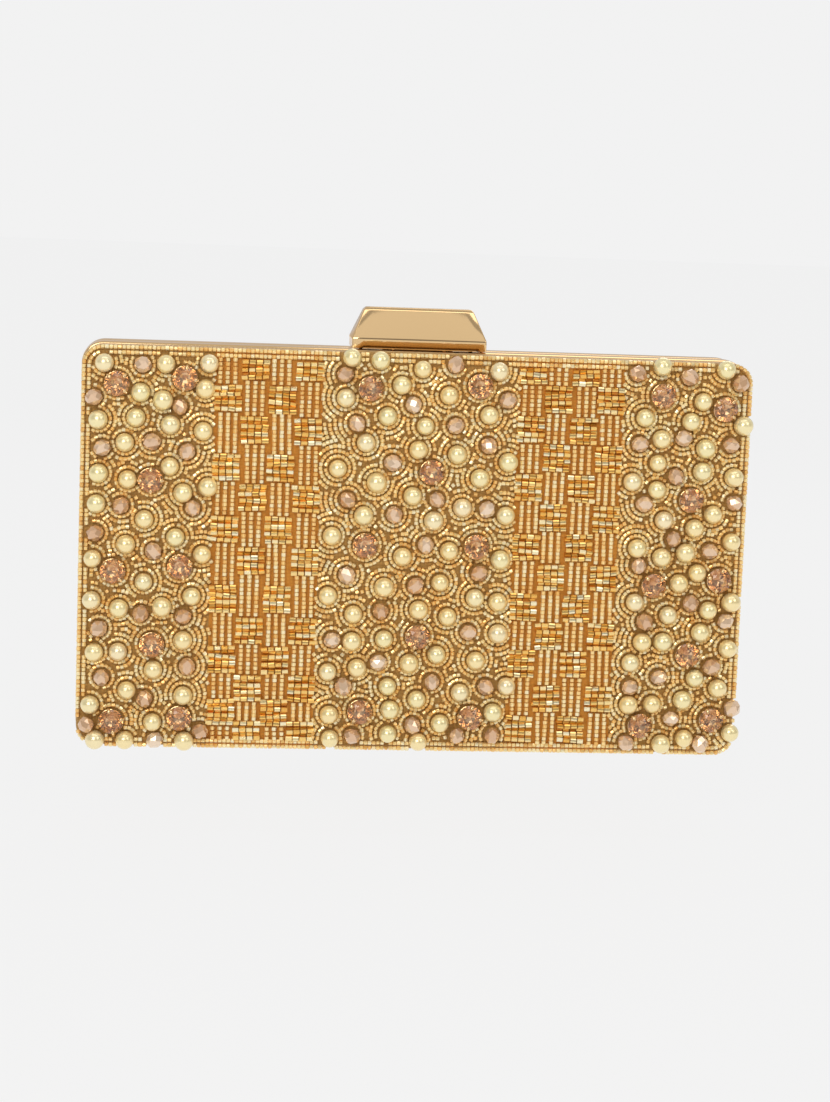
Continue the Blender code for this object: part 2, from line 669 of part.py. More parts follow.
def build():
    clear_scene()
    gilt = material("gilt_metal", (0.83, 0.60, 0.36), 0.12, 1.0)
    steel = material("spring_steel", (0.62, 0.62, 0.64), 0.3, 1.0)
    board = material("shell_board", (0.33, 0.26, 0.18), 0.8)
    foam = material("padding_foam", (0.80, 0.76, 0.66), 0.9)
    cloth = material("cover_fabric", (0.62, 0.46, 0.24), 0.7)
    satin = material("lining_satin", (0.72, 0.56, 0.36), 0.5)
    seeds = material("gold_seed_beads", (0.80, 0.62, 0.34), 0.25)
    bugles = material("amber_bugle_beads", (0.66, 0.38, 0.12), 0.25)
    topaz = material("topaz_stone", (0.55, 0.27, 0.16), 0.08)

    hinge_axis = at(0.0, 0.0, HINGE_HEIGHT)
    back_half = body("back_half", hinge_axis)
    front_half = body("front_half", hinge_axis)
    clasp_lever = body("clasp_lever", at(0.0, PIVOT_DEPTH, PIVOT_HEIGHT))

    notch = hinge_notch("hinge_notch")
    slot = leaf_slot("leaf_slot")
    frame_holes = rivet_holes("frame_rivet_holes", BASE_RIVETS + STRIKER_RIVETS)
    for side, label, half in ((-1, "front", front_half), (1, "back", back_half)):
        frame = metal_frame(f"{label}_frame", side)
        combine(frame, notch, "DIFFERENCE")
        combine(frame, frame_holes, "DIFFERENCE")
        make_part(frame, half, gilt)
        shell = tray(f"{label}_shell", side, SHELL_INSET, SHELL_START, SHELL_DEPTH, SHELL_WALL)
        combine(shell, slot, "DIFFERENCE")
        make_part(shell, half, board)
        lining = tray(f"{label}_lining", side, LINING_INSET, SHELL_START, LINING_DEPTH, LINING_THICKNESS)
        make_part(lining, half, satin)
        padding = plate(f"{label}_padding", side, SHELL_INSET, SHELL_DEPTH + GAP, PADDING_DEPTH)
        make_part(padding, half, foam)
        cover = tray(f"{label}_cover", side, COVER_INSET, COVER_START, COVER_DEPTH, COVER_THICKNESS)
        make_part(cover, half, cloth)
        leaf = hinge_leaf(f"hinge_leaf_{label}", side, own_first=side > 0)
        make_part(leaf, half, gilt)

    pin_centre = (0.0, 0.0, HINGE_HEIGHT)
    hinge_pin = rod("hinge_pin", pin_centre, HINGE_PIN_RADIUS, HINGE_LENGTH + MM)
    make_part(hinge_pin, back_half, steel)

    make_part(embroidery("bead_embroidery"), front_half, seeds)
    for side, label in ((-1, "left"), (1, "right")):
        make_part(bead_weave(f"bead_weave_{label}", side), front_half, bugles)
    add_stones(front_half, topaz)

    make_part(clasp_cap("clasp_cap"), clasp_lever, gilt)
    make_part(clasp_hook("clasp_hook"), clasp_lever, gilt)
    make_part(clasp_base("clasp_base"), back_half, gilt)
    make_part(striker_plate("striker_plate"), front_half, gilt)
    pivot_centre = (0.0, PIVOT_DEPTH, PIVOT_HEIGHT)
    clasp_pin = rod("clasp_pin", pivot_centre, PIVOT_PIN_RADIUS, CLASP_WIDTH - 2 * GAP)
    make_part(clasp_pin, back_half, steel)
    clasp_spring("clasp_spring", back_half, steel)
    for number, place in enumerate(BASE_RIVETS, 1):
        make_part(rivet(f"clasp_base_rivet_{number}", place), back_half, gilt)
    for number, place in enumerate(STRIKER_RIVETS, 1):
        make_part(rivet(f"striker_rivet_{number}", place), front_half, gilt)


build()
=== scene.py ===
"""The beaded evening bag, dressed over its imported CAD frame: beads, gems, gilt metal, cloth, studio, camera.

Metres, +Z up, the front faces -Y. Lengths that describe beadwork are named in millimetres and turned into
metres where they are used.
"""
import json
import math

import bmesh
import bpy
import numpy as np
from mathutils import Matrix, Vector, noise


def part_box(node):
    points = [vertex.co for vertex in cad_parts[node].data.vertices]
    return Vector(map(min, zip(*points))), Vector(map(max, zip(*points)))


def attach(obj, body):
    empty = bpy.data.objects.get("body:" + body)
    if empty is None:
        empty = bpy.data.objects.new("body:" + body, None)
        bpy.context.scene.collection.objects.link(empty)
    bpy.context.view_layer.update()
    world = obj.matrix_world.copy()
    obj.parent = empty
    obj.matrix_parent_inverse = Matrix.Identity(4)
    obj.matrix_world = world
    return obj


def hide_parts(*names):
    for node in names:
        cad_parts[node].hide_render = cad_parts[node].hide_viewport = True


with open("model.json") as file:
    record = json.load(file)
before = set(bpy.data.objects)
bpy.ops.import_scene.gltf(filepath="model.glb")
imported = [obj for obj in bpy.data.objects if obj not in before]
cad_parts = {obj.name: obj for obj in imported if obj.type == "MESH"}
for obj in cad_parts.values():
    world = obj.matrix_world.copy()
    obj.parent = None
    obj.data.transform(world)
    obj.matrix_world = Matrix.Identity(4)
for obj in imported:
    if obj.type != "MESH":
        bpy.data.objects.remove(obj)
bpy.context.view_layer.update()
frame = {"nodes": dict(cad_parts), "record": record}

MM = 0.001
SEED = 7

# ---------------------------------------------------------------- places read from the frame

FRAME_HALF_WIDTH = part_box("back_frame")[1].x
FRAME_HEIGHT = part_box("back_frame")[1].z
CORNER_RADIUS = 7.0 * MM  # as in the CAD source
CLOTH_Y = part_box("front_cover")[0].y  # the cloth that the beads are sewn to
MEETING_Y = (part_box("front_frame")[1].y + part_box("back_frame")[0].y) / 2
PANEL_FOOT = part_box("bead_weave_left")[0].z - 3.3 * MM  # the lower edge of the beadwork
PANEL_HEIGHT = FRAME_HEIGHT - 2 * PANEL_FOOT
PANEL_HALF_WIDTH = FRAME_HALF_WIDTH - PANEL_FOOT
WEAVE_INNER = -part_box("bead_weave_left")[1].x / MM
WEAVE_OUTER = -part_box("bead_weave_left")[0].x / MM

# ---------------------------------------------------------------- where the gems sit
# Millimetres across from the bag's middle and up from the beadwork's lower edge, as in the CAD source.

STONES = [
    (-93.1, 112.8), (-72.5, 115.0), (-82.3, 83.5), (-93.3, 55.3), (-72.9, 57.0), (-80.9, 32.6), (-92.9, 8.4),
    (-72.0, 9.7), (-15.7, 113.5), (18.1, 115.2), (4.0, 88.2), (-15.9, 64.9), (18.8, 65.3), (1.4, 36.6),
    (-15.9, 12.6), (18.8, 11.3), (75.5, 113.9), (95.2, 110.2), (85.8, 81.5), (75.2, 54.3), (95.9, 56.4),
    (87.1, 32.4), (72.9, 9.6), (95.7, 11.7),
]
PEARLS = [
    (-97.0, 119.0), (-78.4, 119.2), (-65.3, 119.7), (-85.9, 110.3), (-79.1, 108.1), (-66.3, 111.9),
    (-98.6, 101.7), (-87.2, 102.6), (-76.7, 100.7), (-66.7, 99.0), (-90.4, 94.9), (-76.6, 87.9),
    (-98.2, 85.3), (-89.3, 83.6), (-72.4, 79.9), (-64.8, 81.9), (-98.7, 75.9), (-84.0, 71.5),
    (-74.4, 66.1), (-89.5, 63.6),
    (-66.1, 61.0), (-99.5, 59.0), (-83.8, 52.1), (-69.0, 47.9), (-99.6, 46.1), (-91.2, 43.7), (-78.1, 44.4),
    (-71.4, 34.1), (-98.5, 29.9), (-91.2, 30.2), (-80.3, 24.8), (-88.3, 18.2), (-71.0, 16.8), (-99.5, 13.5),
    (-80.2, 8.3), (-97.8, 2.5), (-88.6, 2.5), (-70.3, 2.5),
    (-21.8, 122.8), (-13.0, 122.2), (0.1, 119.9), (23.8, 119.9), (-6.2, 114.8), (8.5, 112.1), (-23.3, 110.4),
    (-10.3, 105.1), (21.2, 106.3), (1.5, 102.4), (-16.7, 96.8), (-0.4, 95.0), (11.7, 93.9), (27.7, 91.9),
    (-25.1, 88.6), (19.0, 86.7), (-13.0, 84.6), (-1.7, 80.7), (13.9, 77.4), (27.5, 75.3), (-16.7, 74.2),
    (5.1, 73.1), (-26.3, 67.7), (10.3, 63.8), (-4.2, 61.7), (26.4, 61.4), (7.8, 53.8), (-9.6, 52.0),
    (18.9, 49.2), (-27.0, 49.0), (26.1, 48.1), (1.4, 45.1), (-18.9, 43.3), (10.5, 43.1), (26.6, 38.1),
    (-9.1, 35.7), (-19.1, 34.8), (7.5, 31.1), (19.9, 29.4), (-1.0, 28.2), (-17.2, 26.4), (-26.3, 25.0),
    (29.9, 21.5), (-7.5, 20.7), (15.3, 19.2), (1.8, 16.8), (-6.5, 13.4), (25.9, 13.0), (-25.5, 11.5),
    (9.4, 9.3), (-6.9, 5.7), (-25.0, 3.9), (2.7, 3.3),
    (74.7, 122.9), (94.9, 122.5), (88.1, 112.4), (70.0, 106.9), (84.6, 106.1), (101.2, 105.3), (75.5, 100.4),
    (89.6, 97.8), (74.7, 92.9), (88.9, 90.6), (99.0, 89.0), (66.9, 86.8), (74.8, 84.5), (93.0, 77.2),
    (77.5, 75.0), (87.3, 72.7), (99.3, 68.7), (69.4, 66.0), (84.8, 64.9), (77.3, 63.3), (88.9, 58.6),
    (83.2, 55.2), (69.5, 48.9), (100.2, 49.5), (93.0, 46.8), (80.3, 45.0), (90.8, 39.7), (79.0, 36.5),
    (72.4, 36.3), (99.9, 34.7), (69.0, 29.6), (89.8, 25.1), (97.3, 21.9), (86.2, 18.0), (76.5, 16.5),
    (69.0, 16.2), (102.0, 7.7), (87.3, 5.7), (80.0, 3.8),
]
CRYSTALS = [
    (-85.4, 118.8), (-100.0, 108.5), (-73.9, 106.3), (-82.2, 95.4), (-97.2, 93.1), (-71.4, 92.6),
    (-91.2, 75.5), (-69.3, 75.3), (-98.9, 66.9), (-81.0, 61.7), (-84.5, 42.2), (-71.4, 41.6), (-97.2, 37.3),
    (-69.9, 25.9), (-96.1, 22.0), (-82.8, 15.6), (-100.5, 7.2), (-65.4, 5.7), (-79.4, 2.7),
    (10.2, 121.6), (-23.7, 117.6), (26.9, 111.1), (-2.4, 108.9), (10.9, 102.8), (-19.6, 102.6), (21.4, 96.9),
    (-8.2, 90.8), (5.9, 79.7), (-21.8, 79.0), (21.6, 77.1), (-7.2, 74.7), (2.9, 65.5), (19.9, 57.0),
    (-21.3, 55.5), (0.2, 52.7), (-10.4, 44.4), (17.3, 38.3), (-25.2, 35.1), (-10.6, 28.3), (6.4, 22.4),
    (23.4, 21.1), (-21.3, 20.5), (0.8, 8.5), (26.0, 5.6), (14.9, 5.4), (-18.1, 4.8),
    (67.1, 120.6), (83.5, 119.9), (99.7, 118.4), (82.5, 100.9), (97.6, 99.1), (68.8, 98.7), (80.6, 88.8),
    (99.5, 81.0), (71.0, 80.0), (80.8, 69.2), (92.6, 65.6), (70.2, 60.5), (87.3, 48.9), (98.7, 43.5),
    (72.9, 42.7), (95.0, 28.7), (78.3, 25.1), (69.2, 21.8), (102.3, 15.6), (82.8, 12.0), (68.8, 4.0),
    (92.6, 4.0),
]

# Sizes of the beadwork, in millimetres
PEARL_RADIUS = 2.88
CRYSTAL_RADIUS = 2.75
STONE_RADIUS = 3.85
CUP_RADIUS = 3.95
SEED_RADIUS = 0.67
SEED_LENGTH = 1.24
SEED_PITCH = 1.30
FIRST_ROW = 0.78
ROW_PITCH = 1.6
ROWS_ROUND_GEMS = 6
CLOSEST = 1.06  # the least distance between the middles of two seed beads
BORDER_ROWS = (0.75, 2.4)
BORDER_CLEARANCE = 0.45
LONGEST_STRING = 400
LEVEL_SLACK = 0.15
FILL_TRIES = 20000
FILL_CLEARANCE = 0.85
FILL_SPACING = 1.35
BUGLE_RADIUS = 0.8
BUGLE_LENGTH = 2.02

# ---------------------------------------------------------------- materials


class Material:
    """A Principled material with a few helpers for its procedural nodes."""

    def __init__(self, name, colour, roughness, metallic=0.0, **sockets):
        self.data = bpy.data.materials.new(name)
        self.data.use_nodes = True
        self.tree = self.data.node_tree
        self.shader = self.tree.nodes["Principled BSDF"]
        self.put("Base Color", (*colour, 1.0))
        self.put("Roughness", roughness)
        self.put("Metallic", metallic)
        for label, value in sockets.items():
            self.put(label.replace("_", " "), value)

    def put(self, socket, value):
        self.shader.inputs[socket].default_value = value

    def node(self, kind, **settings):
        made = self.tree.nodes.new(kind)
        for label, value in settings.items():
            if label in made.inputs:
                made.inputs[label].default_value = value
            else:
                setattr(made, label, value)
        return made

    def link(self, output, target):
        self.tree.links.new(output, target)

    def coordinates(self, scale):
        """Object coordinates in metres, scaled."""
        place = self.node("ShaderNodeTexCoord")
        grow = self.node("ShaderNodeMapping")
        grow.inputs["Scale"].default_value = scale
        self.link(place.outputs["Object"], grow.inputs["Vector"])
        return grow.outputs["Vector"]

    def ramp(self, factor, stops):
        """A colour ramp from (position, colour) stops."""
        made = self.node("ShaderNodeValToRGB")
        elements = made.color_ramp.elements
        while len(elements) < len(stops):
            elements.new(0.5)
        for element, (position, colour) in zip(elements, stops):
            element.position = position
            element.color = (*colour, 1.0)
        self.link(factor, made.inputs["Fac"])
        return made.outputs["Color"]

    def per_bead(self, stops):
        """Gives each loose shape of the mesh its own colour out of the ramp."""
        geometry = self.node("ShaderNodeNewGeometry")
        self.link(self.ramp(geometry.outputs["Random Per Island"], stops), self.shader.inputs["Base Color"])

    def bump(self, height, strength, distance):
        made = self.node("ShaderNodeBump", Strength=strength, Distance=distance)
        self.link(height, made.inputs["Height"])
        self.link(made.outputs["Normal"], self.shader.inputs["Normal"])

    def noise(self, vector, scale, detail=3.0):
        made = self.node("ShaderNodeTexNoise", Scale=scale, Detail=detail)
        self.link(vector, made.inputs["Vector"])
        return made.outputs["Fac"]


def gilt_material(name="gilt", roughness=0.07):
    """Polished gold plate with faint hairlines and a little unevenness in its gloss."""
    made = Material(name, (0.84, 0.58, 0.30), roughness, 1.0)
    made.put("Specular Tint", (0.96, 0.82, 0.64, 1.0))
    cloudy = made.noise(made.coordinates((1.0, 1.0, 1.0)), 90.0, 4.0)
    gloss = made.node("ShaderNodeMapRange")
    gloss.inputs["To Min"].default_value = roughness * 0.6
    gloss.inputs["To Max"].default_value = roughness * 1.7
    made.link(cloudy, gloss.inputs["Value"])
    made.link(gloss.outputs["Result"], made.shader.inputs["Roughness"])
    hairlines = made.noise(made.coordinates((60.0, 60.0, 4000.0)), 1.0, 2.0)
    made.bump(hairlines, 0.02, 0.00004)
    return made.data


def steel_material():
    made = Material("steel", (0.60, 0.60, 0.62), 0.25, 1.0)
    made.bump(made.noise(made.coordinates((3000.0, 300.0, 300.0)), 1.0, 2.0), 0.1, 0.00004)
    return made.data


def seed_material():
    """Silver-lined glass: a bright metal lining seen through pale gold glass."""
    made = Material("seed_glass", (0.9, 0.62, 0.25), 0.22, 0.45, Coat_Weight=0.5, Coat_Roughness=0.05)
    made.per_bead([
        (0.0, (0.88, 0.50, 0.14)),
        (0.25, (1.0, 0.67, 0.25)),
        (0.65, (1.0, 0.77, 0.36)),
        (1.0, (1.0, 0.88, 0.56)),
    ])
    return made.data


def bugle_material():
    """Pale gold cut tubes with a bright lining."""
    made = Material("bugle_glass", (0.9, 0.6, 0.2), 0.16, 0.8, Coat_Weight=0.5, Coat_Roughness=0.05)
    made.per_bead([
        (0.0, (0.88, 0.46, 0.08)),
        (0.35, (0.97, 0.62, 0.18)),
        (0.7, (1.0, 0.76, 0.34)),
        (1.0, (1.0, 0.90, 0.60)),
    ])
    return made.data


def amber_bugle_material():
    """The deeper amber tubes of the lower rows."""
    made = Material("amber_glass", (0.8, 0.4, 0.06), 0.16, 0.7, Coat_Weight=0.5, Coat_Roughness=0.05)
    made.per_bead([
        (0.0, (0.58, 0.20, 0.008)),
        (0.4, (0.84, 0.36, 0.03)),
        (0.8, (0.95, 0.50, 0.08)),
        (1.0, (1.0, 0.66, 0.20)),
    ])
    return made.data


def pearl_material():
    """Ivory pearl coating: a softly mirroring lustre and lacquer, a little different on each pearl."""
    made = Material("pearl", (0.93, 0.78, 0.46), 0.28, 0.42, Coat_Weight=1.0, Coat_Roughness=0.15)
    made.put("IOR", 1.8)
    made.put("Coat IOR", 1.8)
    made.put("Coat Tint", (1.0, 0.94, 0.76, 1.0))
    made.per_bead([
        (0.0, (1.0, 0.83, 0.48)),
        (0.4, (1.0, 0.87, 0.55)),
        (0.75, (0.96, 0.88, 0.56)),
        (1.0, (1.0, 0.88, 0.66)),
    ])
    return made.data


def crystal_material():
    """Lustre-coated faceted glass, pinkish over amber."""
    made = Material("crystal", (0.78, 0.56, 0.42), 0.05, 0.35, Coat_Weight=1.0, Coat_Roughness=0.02)
    made.put("Coat IOR", 1.9)
    made.put("Coat Tint", (1.0, 0.91, 0.78, 1.0))
    made.per_bead([
        (0.0, (0.70, 0.44, 0.26)),
        (0.5, (0.82, 0.61, 0.45)),
        (1.0, (0.90, 0.77, 0.65)),
    ])
    return made.data


def stone_material():
    """The clear upper side of a cut stone, a warm copper brown."""
    made = Material("topaz_crown", (0.97, 0.86, 0.72), 0.0, 0.0, Transmission_Weight=1.0, IOR=1.55)
    made.put("Coat Weight", 0.3)
    made.put("Coat Roughness", 0.0)
    return made.data


def foil_material():
    """The mirror foil behind a stone, seen through it. Its copper tint is its own colour; the dark and bright
    mottle over it is painted reflection, standing in for light bounced inside the stone.
    """
    made = Material("topaz_foil", (0.8, 0.52, 0.38), 0.07, 0.85)
    # Painted reflection: a noise mottle of dark and bright patches in the foil's colour, standing in for the
    # stone's inner reflections
    foil = made.noise(made.coordinates((1.0, 1.0, 1.0)), 700.0, 2.0)
    colours = made.ramp(foil, [(0.3, (0.64, 0.36, 0.18)), (0.7, (1.0, 0.76, 0.50))])
    made.link(colours, made.shader.inputs["Base Color"])
    return made.data


def cloth_material(name, dark, light, thread, roughness=0.75, sheen=0.3, shine=0.15, strips=False):
    """Plain weave with a metallic thread; thread is its spacing in metres."""
    made = Material(name, light, roughness, shine, Sheen_Weight=sheen, Sheen_Roughness=0.4)
    scale = 1.0 / thread
    place = made.coordinates((scale, scale, scale))
    checks = []
    for direction in ("X", "Z"):
        wave = made.node("ShaderNodeTexWave", wave_type="BANDS", bands_direction=direction)
        wave.inputs["Scale"].default_value = 0.32
        wave.inputs["Distortion"].default_value = 0.4
        made.link(place, wave.inputs["Vector"])
        checks.append(wave.outputs["Fac"])
    mixed = made.node("ShaderNodeMath", operation="MULTIPLY")
    for index, output in enumerate(checks):
        made.link(output, mixed.inputs[index])
    slubs = made.noise(made.coordinates((140.0, 140.0, 2600.0)), 1.0, 4.0)
    blend = made.node("ShaderNodeMath", operation="MULTIPLY_ADD")
    made.link(slubs, blend.inputs[0])
    blend.inputs[1].default_value = 0.4
    made.link(mixed.outputs[0], blend.inputs[2])
    colours = made.ramp(blend.outputs[0], [(0.2, dark), (1.0, light)])
    if strips:
        colours = amber_strips(made, blend.outputs[0], colours)
    made.link(colours, made.shader.inputs["Base Color"])
    made.bump(blend.outputs[0], 0.6, thread * 0.3)
    return made.data


def amber_strips(made, weave_pattern, colours):
    """Turns the cloth amber where the woven strips lie on its front."""
    place = made.node("ShaderNodeTexCoord")
    split = made.node("ShaderNodeSeparateXYZ")
    made.link(place.outputs["Object"], split.inputs["Vector"])
    across = made.node("ShaderNodeMath", operation="ABSOLUTE")
    made.link(split.outputs["X"], across.inputs[0])
    strip = made.node("ShaderNodeMath", operation="COMPARE")
    made.link(across.outputs[0], strip.inputs[0])
    strip.inputs[1].default_value = (WEAVE_INNER + WEAVE_OUTER) / 2 * MM
    strip.inputs[2].default_value = (WEAVE_OUTER - WEAVE_INNER) / 2 * MM
    face = made.node("ShaderNodeMath", operation="LESS_THAN")
    made.link(split.outputs["Y"], face.inputs[0])
    face.inputs[1].default_value = CLOTH_Y + 0.6 * MM
    both = made.node("ShaderNodeMath", operation="MULTIPLY")
    made.link(strip.outputs[0], both.inputs[0])
    made.link(face.outputs[0], both.inputs[1])
    amber = made.ramp(weave_pattern, [(0.2, (0.55, 0.20, 0.01)), (1.0, (0.90, 0.42, 0.05))])
    mixed = made.node("ShaderNodeMix", data_type="RGBA")
    made.link(both.outputs[0], mixed.inputs["Factor"])
    made.link(colours, mixed.inputs["A"])
    made.link(amber, mixed.inputs["B"])
    return mixed.outputs["Result"]


# ---------------------------------------------------------------- meshes out of many small shapes


def turned(profile, sides, twist=0.0):
    """A closed shape turned about X from (along, radius) pairs, as (vertices, faces). Rows may be twisted."""
    vertices = []
    for row, (along, radius) in enumerate(profile):
        start = twist * row * math.pi / sides
        for side in range(sides):
            angle = start + 2 * math.pi * side / sides
            vertices.append((along, radius * math.cos(angle), radius * math.sin(angle)))
    faces = []
    for row in range(len(profile) - 1):
        for side in range(sides):
            after = (side + 1) % sides
            low, high = row * sides, (row + 1) * sides
            faces.append((low + side, low + after, high + after, high + side))
    faces.append(tuple(range(sides))[::-1])
    last = (len(profile) - 1) * sides
    faces.append(tuple(range(last, last + sides)))
    return np.array(vertices, float), faces


def stamped(name, template, places, turns, sizes, body, slot, material, smooth=False):
    """One mesh with a copy of the template at each place. turns are 3x3 matrices; sizes scale each copy."""
    vertices, faces = template
    places = np.asarray(places, float)
    turns = np.asarray(turns, float)
    sizes = np.asarray(sizes, float).reshape(-1, 1, 1)
    copies = np.einsum("nij,vj->nvi", turns, vertices) * sizes + places[:, None, :]
    count = len(vertices)
    all_faces = []
    for index in range(len(places)):
        offset = index * count
        all_faces.extend(tuple(corner + offset for corner in face) for face in faces)
    mesh = bpy.data.meshes.new(name)
    mesh.from_pydata(copies.reshape(-1, 3).tolist(), [], all_faces)
    bm = bmesh.new()
    bm.from_mesh(mesh)
    bmesh.ops.recalc_face_normals(bm, faces=bm.faces)
    bm.to_mesh(mesh)
    bm.free()
    if smooth:
        mesh.shade_smooth()
    return piece(name, mesh, body, slot, material)


def piece(name, mesh, body, slot, *materials):
    made = bpy.data.objects.new(name, mesh)
    bpy.context.scene.collection.objects.link(made)
    mesh.materials.clear()
    for material in materials:
        mesh.materials.append(material)
    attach(made, body)
    return made


def on_cloth(across, height, lift):
    """A point over the cloth, from millimetres."""
    return (across * MM, CLOTH_Y - lift * MM, PANEL_FOOT + height * MM)


def lying(angle, roll=0.0):
    """The turn that lays a shape's X axis on the cloth at this angle, rolled about itself."""
    along = Vector((math.cos(angle), 0.0, math.sin(angle)))
    out = Vector((0.0, -1.0, 0.0))
    side = out.cross(along)
    flat = Matrix((along, side, out)).transposed()
    return np.array(flat @ Matrix.Rotation(roll, 3, "X"))


# ---------------------------------------------------------------- strings of seed beads

GEMS = np.array(
    [(x, z, PEARL_RADIUS) for x, z in PEARLS]
    + [(x, z, CRYSTAL_RADIUS) for x, z in CRYSTALS]
    + [(x, z, CUP_RADIUS) for x, z in STONES]
)


def room(place):
    """How far a place is from the nearest gem's edge, and the direction away from that gem."""
    away = place - GEMS[:, :2]
    reach = np.hypot(away[:, 0], away[:, 1])
    nearest = int(np.argmin(reach - GEMS[:, 2]))
    return reach[nearest] - GEMS[nearest, 2], away[nearest] / max(reach[nearest], 1e-6)


def in_field(place):
    """True over the three fields, inside the border rows and outside the woven strips."""
    edge = BORDER_ROWS[-1] + 0.9 * SEED_PITCH
    across, height = abs(place[0]), place[1]
    if across > PANEL_HALF_WIDTH / MM - edge or not edge < height < PANEL_HEIGHT / MM - edge:
        return False
    return not WEAVE_INNER + 0.3 < across < WEAVE_OUTER - 0.3


class Strings:
    """Strings of seed beads on the cloth. A string ends where it would meet a bead or leave its field."""

    def __init__(self, rng):
        self.rng = rng
        self.beads = []
        self.cells = {}

    def near(self, place, distance):
        """Whether a bead already lies within this distance of the place."""
        column, row = int(place[0] // 2), int(place[1] // 2)
        for i in range(column - 1, column + 2):
            for j in range(row - 1, row + 2):
                for x, z in self.cells.get((i, j), ()):
                    if (x - place[0]) ** 2 + (z - place[1]) ** 2 < distance * distance:
                        return True
        return False

    def add(self, place, angle):
        self.cells.setdefault((int(place[0] // 2), int(place[1] // 2)), []).append(tuple(place))
        self.beads.append((place[0], place[1], angle + self.rng.normal(0.0, 0.07)))

    def lay(self, start, level, way):
        """Lays a string from the start at a constant distance from the gems, one way round them."""
        place = start
        for _ in range(LONGEST_STRING):
            _, out = room(place)
            before = place
            place = place + way * SEED_PITCH * np.array((-out[1], out[0]))
            for _ in range(3):
                gap, out = room(place)
                place = place + (level - gap) * out
            gap, _ = room(place)
            step = place - before
            off_level = abs(gap - level) > LEVEL_SLACK
            if off_level or np.hypot(*step) < CLOSEST or self.near(place, CLOSEST):
                return
            if not in_field(place):
                return
            self.add(place, math.atan2(step[1], step[0]))

    def ring(self, level):
        """Strings round every gem at this distance, as far as there is room for them."""
        for x, z, radius in GEMS:
            turn = self.rng.uniform(0.0, 2 * math.pi)
            for step in range(24):
                angle = turn + math.pi * step / 12
                out = np.array((math.cos(angle), math.sin(angle)))
                place = np.array((x, z)) + (radius + level) * out
                gap, _ = room(place)
                if gap < level - 0.02 or not in_field(place) or self.near(place, CLOSEST + 0.1):
                    continue
                self.add(place, angle + math.pi / 2)
                self.lay(place, level, 1)
                self.lay(place, level, -1)

    def fill(self):
        """Single beads in what gaps are left, in line with the rows beside them."""
        corner = np.array((PANEL_HALF_WIDTH, PANEL_HEIGHT)) / MM
        for place in self.rng.uniform((-corner[0], 0.0), corner, (FILL_TRIES, 2)):
            gap, out = room(place)
            if gap > FILL_CLEARANCE and in_field(place) and not self.near(place, FILL_SPACING):
                self.add(place, math.atan2(out[0], -out[1]))


def outline(inset, corner_steps):
    """The rounded outline, drawn in by an inset in metres: four corner arcs about the middle."""
    half_width = FRAME_HALF_WIDTH - inset
    half_height = FRAME_HEIGHT / 2 - inset
    radius = max(CORNER_RADIUS - inset, 0.8 * MM)
    points = []
    for x_sign, z_sign, start in ((1, 1, 0.0), (-1, 1, 0.5), (-1, -1, 1.0), (1, -1, 1.5)):
        centre = (x_sign * (half_width - radius), z_sign * (half_height - radius))
        for step in range(corner_steps + 1):
            angle = math.pi * (start + 0.5 * step / corner_steps)
            points.append((centre[0] + radius * math.cos(angle), centre[1] + radius * math.sin(angle)))
    return points


def outline_row(inset):
    """Beads in a row along the beadwork's outline, drawn in by an inset in millimetres."""
    points = outline(PANEL_FOOT + inset * MM, 40)
    line = np.array(points + points[:1]) / MM
    lengths = np.concatenate([[0.0], np.cumsum(np.hypot(*np.diff(line, axis=0).T))])
    count = int(lengths[-1] / SEED_PITCH)
    stations = np.arange(count) * lengths[-1] / count
    across = np.interp(stations, lengths, line[:, 0])
    height = np.interp(stations, lengths, line[:, 1])
    angles = np.arctan2(np.roll(height, -1) - height, np.roll(across, -1) - across)
    return zip(across, height + PANEL_HEIGHT / MM / 2, angles)


def lay_strings(rng):
    """All the seed beads of the border and the fields."""
    strings = Strings(rng)
    for inset in BORDER_ROWS:
        for across, height, angle in outline_row(inset):
            if room(np.array((across, height)))[0] > BORDER_CLEARANCE:
                strings.add(np.array((across, height)), angle)
    for row in range(ROWS_ROUND_GEMS):
        strings.ring(FIRST_ROW + row * ROW_PITCH)
    strings.fill()
    return strings.beads


# ---------------------------------------------------------------- the woven strips

# Each strip's columns take turns between two sets of level blocks, given by their middles' heights in mm
LEVEL_BLOCKS = {
    "left": ((109.2, 88.0, 68.9, 47.2, 28.2, 11.5), (119.2, 99.6, 78.8, 59.2, 37.4, 19.2, 4.6)),
    "right": ((120.3, 102.0, 84.2, 65.4, 46.4, 28.5, 7.6), (111.6, 93.5, 74.7, 56.1, 37.4, 17.4)),
}
STRIP_COLUMNS = 4
ROWS_PER_BLOCK = 4
LEVEL_PITCH = 2.3
BUGLES_PER_ROW = 4
UPRIGHT_STRINGS = 3
UPRIGHT_PITCH = 2.3
WOVEN_SEED_RADIUS = 0.72
PALE_LIFT = 0.45
AMBER_LIFT = -0.5


